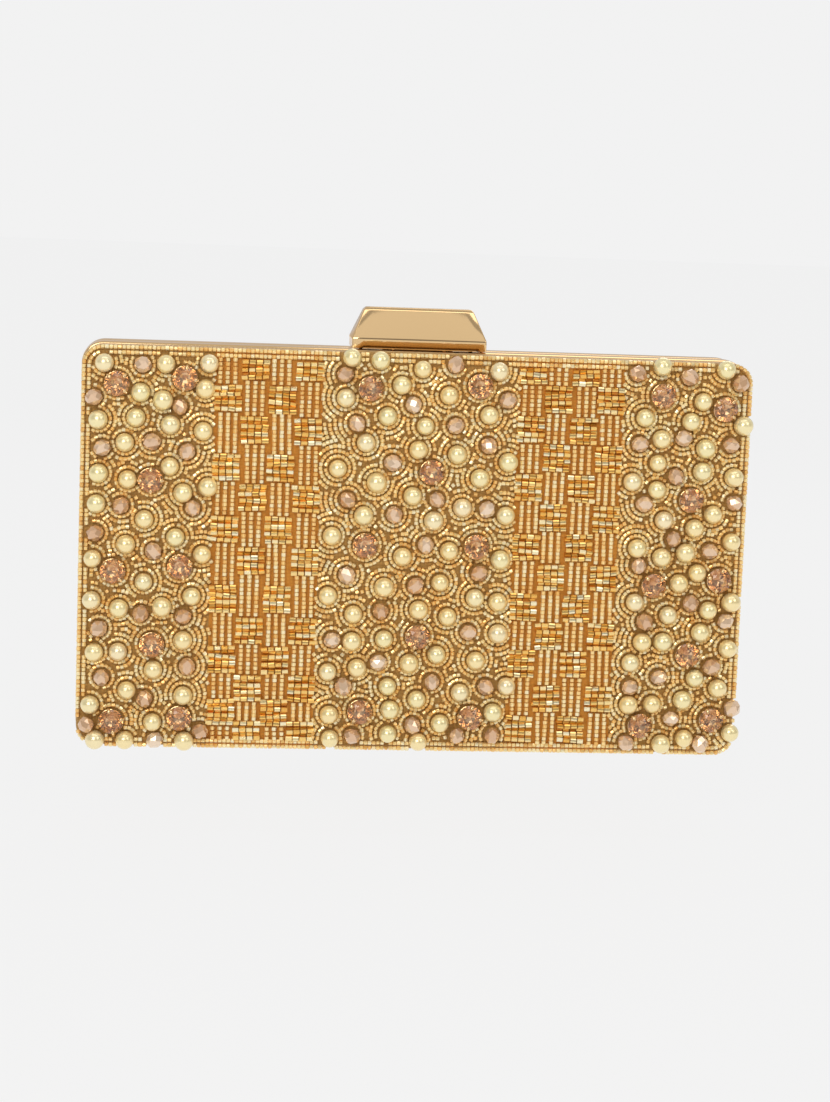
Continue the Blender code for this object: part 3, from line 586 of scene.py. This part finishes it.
def weave(rng):
    """The strips' pale bugles, amber bugles and seed beads, as lists of (across, height, angle, lift)."""
    bugles, ambers, seeds = [], [], []
    width = (WEAVE_OUTER - WEAVE_INNER) / STRIP_COLUMNS
    foot, top = BORDER_ROWS[-1] + 0.8, PANEL_HEIGHT / MM - BORDER_ROWS[-1] - 0.8
    half_block = ROWS_PER_BLOCK * LEVEL_PITCH / 2
    for label, start in (("left", -WEAVE_OUTER), ("right", WEAVE_INNER)):
        for column in range(STRIP_COLUMNS):
            middle = start + (column + 0.5) * width
            ends = [top]
            for centre in LEVEL_BLOCKS[label][column % 2]:
                for row in range(ROWS_PER_BLOCK):
                    height = centre + half_block - (row + 0.5) * LEVEL_PITCH
                    if foot + 0.2 < height < top:
                        bugles.extend(level_row(rng, middle, height, width + 0.4, PALE_LIFT))
                    between = height + LEVEL_PITCH / 2
                    if row and foot + 0.2 < between < top:
                        ambers.extend(level_row(rng, middle, between, width + 0.2, AMBER_LIFT))
                ends += [centre + half_block, centre - half_block]
            ends.append(foot - 0.3)
            for upper, lower in zip(ends[::2], ends[1::2]):
                if upper - lower > 1.2:
                    seeds.extend(upright_block(rng, middle, lower, upper))
    return bugles, ambers, seeds


def level_row(rng, middle, height, width, lift):
    """One level row of bugle beads, a little slanting."""
    tilt = rng.normal(0.0, 0.035)
    shift, rise = rng.normal(0.0, 0.15), rng.normal(0.0, 0.12)
    row = []
    for step in range(BUGLES_PER_ROW):
        across = (step - (BUGLES_PER_ROW - 1) / 2) * width / BUGLES_PER_ROW
        bow = lift - 0.25 * (2 * across / width) ** 2
        angle = tilt + rng.normal(0.0, 0.04)
        row.append((middle + shift + across, height + rise + across * tilt, angle, bow))
    return row


def upright_block(rng, middle, lower, upper):
    """Upright strings of seed beads between two level blocks."""
    found = []
    count = max(1, round((upper - lower + 0.5) / SEED_PITCH))
    shift = rng.normal(0.0, 0.2)
    for string in range(UPRIGHT_STRINGS):
        across = middle + shift + (string - (UPRIGHT_STRINGS - 1) / 2) * UPRIGHT_PITCH
        lean = rng.normal(0.0, 0.015)
        for step in range(count):
            height = lower - 0.25 + (step + 0.5) * (upper - lower + 0.5) / count
            along = height - (upper + lower) / 2
            found.append((across + lean * along, height, math.pi / 2 + lean + rng.normal(0.0, 0.04), 0.2))
    return found


# ---------------------------------------------------------------- beads and gems as meshes


def tube(length, radius, sides, rim):
    """A short tube of glass with rounded rims, lying along X, in metres."""
    half = length / 2 * MM
    radius = radius * MM
    mouth = 0.62 * radius
    profile = [(-half, mouth), (-rim * half, radius), (rim * half, radius), (half, mouth)]
    return turned(profile, sides)


def crystal_template():
    """A faceted rondelle: rows of facets that step round by half a facet."""
    radius = CRYSTAL_RADIUS * MM
    rows = [(-0.86, 0.30), (-0.42, 0.90), (0.0, 1.0), (0.42, 0.90), (0.86, 0.30)]
    vertices, faces = turned([(along * radius, reach * radius) for along, reach in rows], 7, twist=1.0)
    halves = []
    for face in faces:
        halves.extend([(face[0], face[1], face[3]), face[1:]] if len(face) == 4 else [face])
    return vertices, halves


def pearl_template():
    """A drilled pearl, its hole along X."""
    radius = PEARL_RADIUS * MM
    rows = [(-0.90 * radius, 0.10 * radius)]
    for step in range(17):
        angle = math.radians(-80 + 10 * step)
        rows.append((radius * math.sin(angle), radius * math.cos(angle)))
    rows.append((0.90 * radius, 0.10 * radius))
    return turned(rows, 28)


def place_beads(name, template, beads, radius, rng, slot, material, smooth=False):
    """Lays (across, height, angle) or (across, height, angle, lift) beads on the cloth."""
    places, turns = [], []
    for across, height, angle, *lift in beads:
        lifted = radius + rng.uniform(0.0, 0.12) + sum(lift)
        places.append(on_cloth(across, height, max(lifted, 0.1)))
        turns.append(lying(angle, rng.uniform(0.0, math.pi)))
    sizes = rng.normal(1.0, 0.035, len(beads)).clip(0.92, 1.08)
    return stamped(name, template, places, turns, sizes, "front_half", slot, material, smooth)


def facet_ring(count, start, radius, height):
    """Corners of a level ring, evenly spaced from the start angle."""
    angles = [start + 2 * math.pi * i / count for i in range(count)]
    return [(radius * math.cos(angle), radius * math.sin(angle), height) for angle in angles]


def stone_parts():
    """A round cut stone about Z, girdle at 0 and unit radius: (vertices, crown faces, pavilion faces)."""
    step = math.pi / 8
    table = facet_ring(8, 0.0, 0.56, 0.34)
    stars = facet_ring(8, step, 0.80, 0.21)
    girdle = facet_ring(16, 0.0, 1.0, 0.02)
    lower = facet_ring(8, 0.0, 0.46, -0.46)
    vertices = table + stars + girdle + lower + [(0.0, 0.0, -0.72)]
    crown, pavilion = [tuple(range(8))], []
    culet = len(vertices) - 1
    for i in range(8):
        j = (i + 1) % 8
        table_i, table_j, star, star_before = i, j, 8 + i, 8 + (i - 1) % 8
        corner, middle, corner_after = 16 + 2 * i, 16 + 2 * i + 1, 16 + (2 * i + 2) % 16
        crown.append((table_i, star, table_j))
        crown.append((table_i, star_before, corner, star))
        crown.append((star, corner, middle))
        crown.append((star, middle, corner_after))
        low_i, low_j = 32 + i, 32 + j
        pavilion.append((corner, low_i, middle))
        pavilion.append((middle, low_j, corner_after))
        pavilion.append((middle, low_i, low_j))
        pavilion.append((low_i, culet, low_j))
    return vertices, crown, pavilion


def facing_out(spin):
    """The turn that points a shape's Z axis out of the cloth, spun about it."""
    upright = Matrix.Rotation(math.pi / 2, 3, "X")
    return upright @ Matrix.Rotation(spin, 3, "Z")


def cup_mesh(bm, middle, turn):
    """A gold cup below the stone's girdle, with four claws bent over its edge."""
    radius = CUP_RADIUS * MM
    profile = [(0.70, -0.62), (0.94, -0.34), (0.98, -0.06), (0.92, -0.04), (0.84, -0.32), (0.60, -0.60)]
    sides = 24
    rows = []
    for reach, height in profile:
        ring = []
        for side in range(sides):
            angle = 2 * math.pi * side / sides
            place = Vector((reach * math.cos(angle), reach * math.sin(angle), height)) * radius
            ring.append(bm.verts.new(middle + turn @ place))
        rows.append(ring)
    for lower, upper in zip(rows, rows[1:] + rows[:1]):
        for side in range(sides):
            after = (side + 1) % sides
            bm.faces.new((lower[side], lower[after], upper[after], upper[side]))
    for claw in range(4):
        spin = turn @ Matrix.Rotation(math.pi / 4 + claw * math.pi / 2, 3, "Z")
        for reach, height, size in ((0.94, -0.02, (0.5, 0.55, 1.0)), (0.84, 0.17, (0.75, 0.62, 0.36))):
            place = Matrix.Translation(middle + spin @ Vector((reach * radius, 0.0, height * radius)))
            shape = spin.to_4x4() @ Matrix.Rotation(math.radians(22), 4, "Y") @ Matrix.Diagonal((*size, 1.0))
            bmesh.ops.create_icosphere(bm, subdivisions=2, radius=MM, matrix=place @ shape)


def make_stones(rng, crown, foil, gilt):
    """The cut stones, each with its cup, replacing the coarse CAD ones."""
    vertices, crown_faces, pavilion_faces = stone_parts()
    names = [f"stone_{field}_{number}" for field in ("left", "centre", "right") for number in range(1, 9)]
    for name, (across, height) in zip(names, STONES):
        middle = Vector(on_cloth(across, height, 3.4))
        turn = facing_out(rng.uniform(0.0, math.pi)) @ Matrix.Rotation(rng.normal(0.0, 0.05), 3, "X")
        size = STONE_RADIUS * MM
        mesh = bpy.data.meshes.new(f"{name}_gem")
        corners = [middle + turn @ (Vector(vertex) * size) for vertex in vertices]
        mesh.from_pydata(corners, [], crown_faces + pavilion_faces)
        gem = piece(f"{name}_gem", mesh, "front_half", "topaz_stone", crown, foil)
        for polygon in mesh.polygons:
            polygon.material_index = 0 if polygon.index < len(crown_faces) else 1
        bm = bmesh.new()
        bm.from_mesh(mesh)
        bmesh.ops.recalc_face_normals(bm, faces=bm.faces)
        bm.to_mesh(mesh)
        bm.free()
        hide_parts(name)
        bm = bmesh.new()
        cup_mesh(bm, middle, turn)
        bmesh.ops.recalc_face_normals(bm, faces=bm.faces)
        cup = bpy.data.meshes.new(f"{name}_cup")
        bm.to_mesh(cup)
        bm.free()
        cup.shade_smooth()
        cup.set_sharp_from_angle(angle=math.radians(35))
        piece(f"{name}_cup", cup, "front_half", "gilt_metal", gilt)


def make_beadwork(gilt):
    """Every bead, pearl, crystal and stone. The order of the random draws fixes the look."""
    rng = np.random.default_rng(SEED)
    seeds_look, bugles_look = seed_material(), bugle_material()
    seed = tube(SEED_LENGTH, SEED_RADIUS, 8, 0.76)
    bugle = tube(BUGLE_LENGTH, BUGLE_RADIUS, 10, 0.9)
    beads = lay_strings(rng)
    between = (WEAVE_INNER + WEAVE_OUTER) / 2
    edges = (-math.inf, -between, between, math.inf)
    for label, start, end in zip(("left", "centre", "right"), edges, edges[1:]):
        share = [bead for bead in beads if start <= bead[0] < end]
        name = f"seed_beads_{label}"
        seeds = place_beads(name, seed, share, SEED_RADIUS, rng, "gold_seed_beads", seeds_look)
        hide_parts("bead_embroidery")
    bugles, ambers, uprights = weave(rng)
    level = place_beads("woven_bugles", bugle, bugles, BUGLE_RADIUS, rng, "amber_bugle_beads", bugles_look)
    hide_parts("bead_weave_left", "bead_weave_right")
    amber_look = amber_bugle_material()
    place_beads("amber_bugles", bugle, ambers, BUGLE_RADIUS, rng, "amber_bugle_beads", amber_look)
    woven_seed = tube(SEED_LENGTH, WOVEN_SEED_RADIUS, 8, 0.78)
    place_beads("woven_seeds", woven_seed, uprights, WOVEN_SEED_RADIUS, rng, "gold_seed_beads", seeds_look)
    pearls = [(x, z, rng.uniform(0.0, math.pi)) for x, z in PEARLS]
    look = pearl_material()
    place_beads("pearls", pearl_template(), pearls, PEARL_RADIUS, rng, "gold_seed_beads", look, smooth=True)
    crystals = [(x, z, rng.uniform(0.0, math.pi)) for x, z in CRYSTALS]
    look = crystal_material()
    place_beads("crystals", crystal_template(), crystals, CRYSTAL_RADIUS, rng, "gold_seed_beads", look)
    make_stones(rng, stone_material(), foil_material(), gilt)


# ---------------------------------------------------------------- cloth covers, linings and metal frames

LOOP_CORNER_STEPS = 14
STRAIGHT_STEPS = 24


def loop_points(inset):
    """The outline drawn in by an inset, with points along its straight sides too."""
    arcs = outline(inset, LOOP_CORNER_STEPS)
    points = []
    for corner in range(4):
        arc = arcs[corner * (LOOP_CORNER_STEPS + 1):(corner + 1) * (LOOP_CORNER_STEPS + 1)]
        after = arcs[((corner + 1) * (LOOP_CORNER_STEPS + 1)) % len(arcs)]
        points.extend(arc)
        for step in range(1, STRAIGHT_STEPS):
            part = step / STRAIGHT_STEPS
            points.append(tuple(a + (b - a) * part for a, b in zip(arc[-1], after)))
    return points


def loop_surface(name, side, stations, filled, wave=0.0):
    """A surface through outlines at (inset, depth) stations, and across the last one if it's filled."""
    bm = bmesh.new()
    rows = []
    for inset, depth in stations:
        row = []
        for across, height in loop_points(inset):
            swell = wave * noise.noise(Vector((across, depth, height)) / (9 * MM))
            row.append(bm.verts.new((across, MEETING_Y + side * (depth + swell), height + FRAME_HEIGHT / 2)))
        rows.append(row)
    if not filled:
        rows.append(rows[0])
    for lower, upper in zip(rows, rows[1:]):
        for index in range(len(lower)):
            after = (index + 1) % len(lower)
            bm.faces.new((lower[index], lower[after], upper[after], upper[index]))
    if filled:
        bm.faces.new(rows[-1])
    bmesh.ops.recalc_face_normals(bm, faces=bm.faces)
    mesh = bpy.data.meshes.new(name)
    bm.to_mesh(mesh)
    bm.free()
    mesh.shade_smooth()
    mesh.set_sharp_from_angle(angle=math.radians(40))
    return mesh


def depths(node, side):
    """The least and greatest depth of a CAD node from the meeting plane."""
    low, high = (side * (corner.y - MEETING_Y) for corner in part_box(node))
    return min(low, high), max(low, high)


def rounded(inset, depth, radius, steps=6):
    """Stations round the edge between a wall at this inset and a face at this depth."""
    found = []
    for step in range(steps + 1):
        angle = 0.5 * math.pi * step / steps
        found.append((inset + radius * (1 - math.cos(angle)), depth - radius * (1 - math.sin(angle))))
    return found


def make_cover(label, side, crown, cloth):
    """A cloth cover drawn over thin padding: straight walls, a soft edge and a slightly crowned face."""
    cover = f"{label}_cover"
    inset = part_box(cover)[0].z
    start, end = depths(cover, side)
    edge = 2.2 * MM
    stations = [(inset + 0.5 * MM, start), (inset, start + 0.3 * MM)]
    stations += rounded(inset, end, edge)
    for reach in (4, 6, 9, 13, 18, 24, 31, 39, 48):
        rise = crown * (1 - math.exp(-(reach * MM - edge) / (12 * MM)))
        stations.append((inset + reach * MM, end + rise))
    mesh = loop_surface(f"{label}_cover_cloth", side, stations, True, 0.08 * MM)
    made = piece(f"{label}_cover_cloth", mesh, f"{label}_half", "cover_fabric", cloth)
    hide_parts(cover, f"{label}_padding")


def make_lining(label, side, satin):
    """The satin lining of one half, glued into its shell with small ripples."""
    lining = f"{label}_lining"
    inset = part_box(lining)[0].z
    start, end = depths(lining, side)
    stations = [(inset, start), (inset + 0.2 * MM, start + 3 * MM), (inset + 0.1 * MM, start + 8 * MM)]
    stations += rounded(inset + 0.2 * MM, end, 2.5 * MM)
    for reach in (4, 7, 11, 16, 22, 29, 37, 46):
        stations.append((inset + reach * MM, end - 0.1 * MM))
    mesh = loop_surface(f"{label}_lining_satin", side, stations, True, 0.35 * MM)
    made = piece(f"{label}_lining_satin", mesh, f"{label}_half", "lining_satin", satin)
    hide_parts(lining)


def make_frame(label, side, gilt):
    """The gilt frame of one half, its wall slightly domed and its edges rounded, notched for the hinge."""
    node = f"{label}_frame"
    start, end = depths(node, side)
    wall, flange, dome = 1.2 * MM, 3.6 * MM, 0.3 * MM
    stations = []
    for step in range(9):
        part = step / 8
        stations.append((dome * (2 * part - 1) ** 2, start + 0.25 * MM + (end - start - 0.7 * MM) * part))
    stations += [(dome + 0.15 * MM, end - 0.12 * MM), (dome + 0.45 * MM, end), (wall, end)]
    stations += [(wall, start + wall), (flange, start + wall), (flange, start), (dome + 0.2 * MM, start)]
    mesh = loop_surface(f"{label}_frame_rounded", side, stations, False)
    made = piece(f"{label}_frame_rounded", mesh, f"{label}_half", "gilt_metal", gilt)
    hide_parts(node)
    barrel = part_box("hinge_leaf_back")[1].z + 0.1 * MM
    notch = 1.75 * MM
    width = 1.5 * FRAME_HALF_WIDTH
    carve(made, (-width, MEETING_Y - notch, -barrel), (width, MEETING_Y + notch, barrel))


def carve(target, low, high):
    """Cuts the block between two corners out of an object and leaves a plain mesh."""
    low, high = Vector(low), Vector(high)
    mesh = bpy.data.meshes.new("cutter")
    bm = bmesh.new()
    place = Matrix.Translation((low + high) / 2) @ Matrix.Diagonal((*(high - low), 1.0))
    bmesh.ops.create_cube(bm, size=1.0, matrix=place)
    bm.to_mesh(mesh)
    bm.free()
    cutter = bpy.data.objects.new("cutter", mesh)
    bpy.context.scene.collection.objects.link(cutter)
    change = target.modifiers.new("carve", "BOOLEAN")
    change.operation = "DIFFERENCE"
    change.solver = "EXACT"
    change.object = cutter
    bpy.context.view_layer.update()
    graph = bpy.context.evaluated_depsgraph_get()
    carved = bpy.data.meshes.new_from_object(target.evaluated_get(graph))
    target.modifiers.clear()
    target.data = carved
    bpy.data.objects.remove(cutter)


# ---------------------------------------------------------------- the clasp's cap


def relieve_back(bm, start, top):
    """Cuts away the skirt's back, behind start and below top, so that the cap can swing over the frame."""
    for place, normal in (((0.0, start, 0.0), (0.0, 1.0, 0.0)), ((0.0, 0.0, top), (0.0, 0.0, 1.0))):
        everything = bm.verts[:] + bm.edges[:] + bm.faces[:]
        bmesh.ops.bisect_plane(bm, geom=everything, plane_co=place, plane_no=normal)
    middles = [(face, face.calc_center_median()) for face in bm.faces]
    cut = [face for face, middle in middles if middle.y > start and middle.z < top]
    bmesh.ops.delete(bm, geom=cut, context="FACES")


def make_cap(gilt):
    """The lever's cap: a skirt, a slightly bowed sloping front, hipped ends and a narrow top."""
    low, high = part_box("clasp_cap")
    half_width, front, back = high.x, low.y, high.y
    top_half_width = 17.25 * MM
    middle = (front + back) / 2
    skirt_top = low.z + 2.7 * MM
    shoulder = high.z - 0.8 * MM
    top_depth = 3.7 * MM
    bow = 0.45 * MM
    levels = [
        (low.z, half_width, front, back),
        (skirt_top, half_width, front, back),
        (shoulder, top_half_width, middle - top_depth, middle + top_depth),
        (high.z, top_half_width - 0.8 * MM, middle - top_depth + 0.8 * MM, middle + top_depth - 0.8 * MM),
    ]
    bm = bmesh.new()
    rows = []
    for index, (height, reach, near, far) in enumerate(levels):
        bowed = bow if index > 1 else 0.0
        drop = 0.0 if index else 0.5 * MM
        row = []
        for step in range(13):
            part = step / 6 - 1
            row.append(bm.verts.new((part * reach, near + bowed * part * part, height - drop)))
        row += [bm.verts.new((reach, far, height)), bm.verts.new((-reach, far, height))]
        rows.append(row)
    for lower, upper in zip(rows, rows[1:]):
        for index in range(len(lower)):
            after = (index + 1) % len(lower)
            bm.faces.new((lower[index], lower[after], upper[after], upper[index]))
    bm.faces.new(rows[-1])
    bmesh.ops.recalc_face_normals(bm, faces=bm.faces)
    sharp = [edge for edge in bm.edges if edge.is_manifold and edge.calc_face_angle() > math.radians(14)]
    bmesh.ops.bevel(bm, geom=sharp, offset=0.28 * MM, segments=3, profile=0.5, affect="EDGES")
    relief_depth, relief_height = 2.0 * MM, 2.3 * MM
    relieve_back(bm, back - relief_depth, low.z + relief_height)
    mesh = bpy.data.meshes.new("clasp_cap_polished")
    bm.to_mesh(mesh)
    bm.free()
    mesh.shade_smooth()
    mesh.set_sharp_from_angle(angle=math.radians(50))
    cap = piece("clasp_cap_polished", mesh, "clasp_lever", "gilt_metal", gilt)
    wall = cap.modifiers.new("wall", "SOLIDIFY")
    wall.thickness = 1.0 * MM
    wall.offset = -1.0
    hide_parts("clasp_cap")


# ---------------------------------------------------------------- carried-over CAD pieces


def dress(name, material):
    """Gives a CAD node that stays its own material."""
    slots = frame["nodes"][name].material_slots
    if not slots:
        frame["nodes"][name].data.materials.append(material)
    for slot in slots:
        slot.material = material


def dress_cad(gilt):
    """Materials for the CAD nodes that stay, and finer covers, linings, frames and cap."""
    steel = steel_material()
    board = cloth_material("shell_board", (0.16, 0.12, 0.08), (0.30, 0.23, 0.15), 0.6 * MM)
    foam = cloth_material("foam", (0.60, 0.55, 0.45), (0.82, 0.78, 0.68), 0.5 * MM)
    thread = 0.45 * MM
    dark, light = (0.30, 0.14, 0.02), (0.80, 0.47, 0.12)
    under_beads = cloth_material("front_cover_cloth", dark, light, thread, 0.5, 0.1, 0.15, strips=True)
    dark, light = (0.44, 0.21, 0.035), (0.92, 0.57, 0.17)
    bare = cloth_material("back_cover_cloth", dark, light, thread, 0.45, 0.3, 0.3)
    covers = {"front": under_beads, "back": bare}
    lining = cloth_material("lining_satin", (0.50, 0.34, 0.16), (0.80, 0.62, 0.38), 0.25 * MM, 0.35, 0.5, 0.1)
    looks = {
        "gilt_metal": gilt,
        "spring_steel": steel,
        "shell_board": board,
        "padding_foam": foam,
        "cover_fabric": bare,
        "lining_satin": lining,
    }
    for entry in frame["record"]["subparts"]:
        look = looks.get(entry["material_slot"])
        if look:
            dress(entry["node"], look)
    for label, side, crown in (("front", -1, 0.0), ("back", 1, 1.6 * MM)):
        make_cover(label, side, crown, covers[label])
        make_lining(label, side, lining)
        make_frame(label, side, gilt)
    make_cap(gilt)


# ---------------------------------------------------------------- studio and camera

CAMERA_DISTANCE = 0.757
CAMERA_AZIMUTH = -5.92
CAMERA_ELEVATION = 7.54
CAMERA_ROLL = 2.086
CAMERA_LENS = 79.6


def make_camera():
    """The camera a little to the left and above, rolled so that the bag leans to the right."""
    a, e, r = (math.radians(angle) for angle in (CAMERA_AZIMUTH, CAMERA_ELEVATION, CAMERA_ROLL))
    back = Vector((math.sin(a) * math.cos(e), -math.cos(a) * math.cos(e), math.sin(e)))
    right = Vector((math.cos(a), math.sin(a), 0.0))
    up = back.cross(right)
    rolled_right = right * math.cos(r) + up * math.sin(r)
    rolled_up = up * math.cos(r) - right * math.sin(r)
    aim = Vector((-0.19 * MM, CLOTH_Y - 1.0 * MM, PANEL_FOOT + PANEL_HEIGHT / 2 + 1.08 * MM))
    data = bpy.data.cameras.new("camera")
    data.lens = CAMERA_LENS
    data.sensor_width = 36.0
    data.clip_start = 0.05
    data.clip_end = 20.0
    camera = bpy.data.objects.new("camera", data)
    turn = Matrix((rolled_right, rolled_up, back)).transposed().to_4x4()
    camera.matrix_world = Matrix.Translation(aim + back * CAMERA_DISTANCE) @ turn
    bpy.context.scene.collection.objects.link(camera)
    bpy.context.scene.camera = camera


def area_light(name, place, aim, size, power, colour):
    data = bpy.data.lights.new(name, "AREA")
    data.shape = "RECTANGLE"
    data.size, data.size_y = size
    data.energy = power
    data.color = colour
    light = bpy.data.objects.new(name, data)
    light.location = place
    light.rotation_mode = "QUATERNION"
    light.rotation_quaternion = (Vector(aim) - Vector(place)).to_track_quat("-Z", "Y")
    bpy.context.scene.collection.objects.link(light)


def softbox(name, elevation, azimuth, distance, size, radiance, colour=(1.0, 1.0, 1.0)):
    """An area light aimed at the bag's middle. Its radiance is what a mirror would show of it."""
    middle = Vector((0.0, 0.0, FRAME_HEIGHT / 2))
    e, a = math.radians(elevation), math.radians(azimuth)
    place = middle + distance * Vector((math.sin(a) * math.cos(e), -math.cos(a) * math.cos(e), math.sin(e)))
    area_light(name, place, middle, size, radiance * math.pi * size[0] * size[1], colour)


# The floor lies low enough for the front half to swing right down
FLOOR_DROP = 28.0 * MM
BACKDROP = 0.887
WHITE_WALL = 0.62
ROOM_LOW = 0.25
ROOM_HIGH = 0.45


def spread(tree, source, start, end, low, high):
    """Maps a value from one range onto another."""
    made = tree.nodes.new("ShaderNodeMapRange")
    for label, value in (("From Min", start), ("From Max", end), ("To Min", low), ("To Max", high)):
        made.inputs[label].default_value = value
    tree.links.new(source, made.inputs["Value"])
    return made.outputs["Result"]


def make_world():
    """A white backdrop behind the bag and a dimmer room before it. The camera sees even white all round."""
    world = bpy.data.worlds.new("studio")
    bpy.context.scene.world = world
    world.use_nodes = True
    tree = world.node_tree
    place = tree.nodes.new("ShaderNodeTexCoord")
    split = tree.nodes.new("ShaderNodeSeparateXYZ")
    tree.links.new(place.outputs["Generated"], split.inputs["Vector"])
    room_light = spread(tree, split.outputs["Z"], 0.15, 0.9, ROOM_LOW, ROOM_HIGH)
    behind = spread(tree, split.outputs["Y"], -0.05, 0.1, 0.0, 1.0)
    ray = tree.nodes.new("ShaderNodeLightPath")
    lit = tree.nodes.new("ShaderNodeMix")
    seen = tree.nodes.new("ShaderNodeMix")
    lit.inputs["B"].default_value = WHITE_WALL
    seen.inputs["B"].default_value = BACKDROP
    tree.links.new(room_light, lit.inputs["A"])
    tree.links.new(behind, lit.inputs["Factor"])
    tree.links.new(lit.outputs["Result"], seen.inputs["A"])
    tree.links.new(ray.outputs["Is Camera Ray"], seen.inputs["Factor"])
    tree.links.new(seen.outputs["Result"], tree.nodes["Background"].inputs["Strength"])
    tree.nodes["Background"].inputs["Color"].default_value = (1.0, 1.0, 1.0, 1.0)


def make_studio():
    """Soft boxes, a pale floor and the room's light."""
    make_world()
    bpy.context.scene.view_settings.view_transform = "Standard"
    softbox("top_front", 47, 0, 1.15, (1.0, 0.5), 0.42)
    softbox("key_left", 22, -20, 1.0, (0.44, 0.44), 4.6, (1.0, 0.97, 0.92))
    softbox("key_right", 30, 42, 1.1, (0.36, 0.46), 2.4, (1.0, 0.96, 0.90))
    softbox("strip", 72, 0, 1.0, (1.1, 0.24), 1.6, (1.0, 0.97, 0.92))
    softbox("back", 35, 160, 1.2, (0.6, 0.5), 1.6)
    mesh = bpy.data.meshes.new("floor")
    bm = bmesh.new()
    bmesh.ops.create_grid(bm, x_segments=1, y_segments=1, size=30.0)
    bm.to_mesh(mesh)
    bm.free()
    floor = bpy.data.objects.new("floor", mesh)
    floor.location = (0.0, 0.0, -FLOOR_DROP)
    paper = Material("floor", (0.05, 0.05, 0.05), 0.9)
    paper.put("Specular IOR Level", 0.0)
    paper.put("Emission Color", (1.0, 1.0, 1.0, 1.0))
    paper.put("Emission Strength", 0.85)
    mesh.materials.append(paper.data)
    bpy.context.scene.collection.objects.link(floor)


# ---------------------------------------------------------------- all of it

gilt = gilt_material()
dress_cad(gilt)
make_beadwork(gilt)
make_studio()
make_camera()
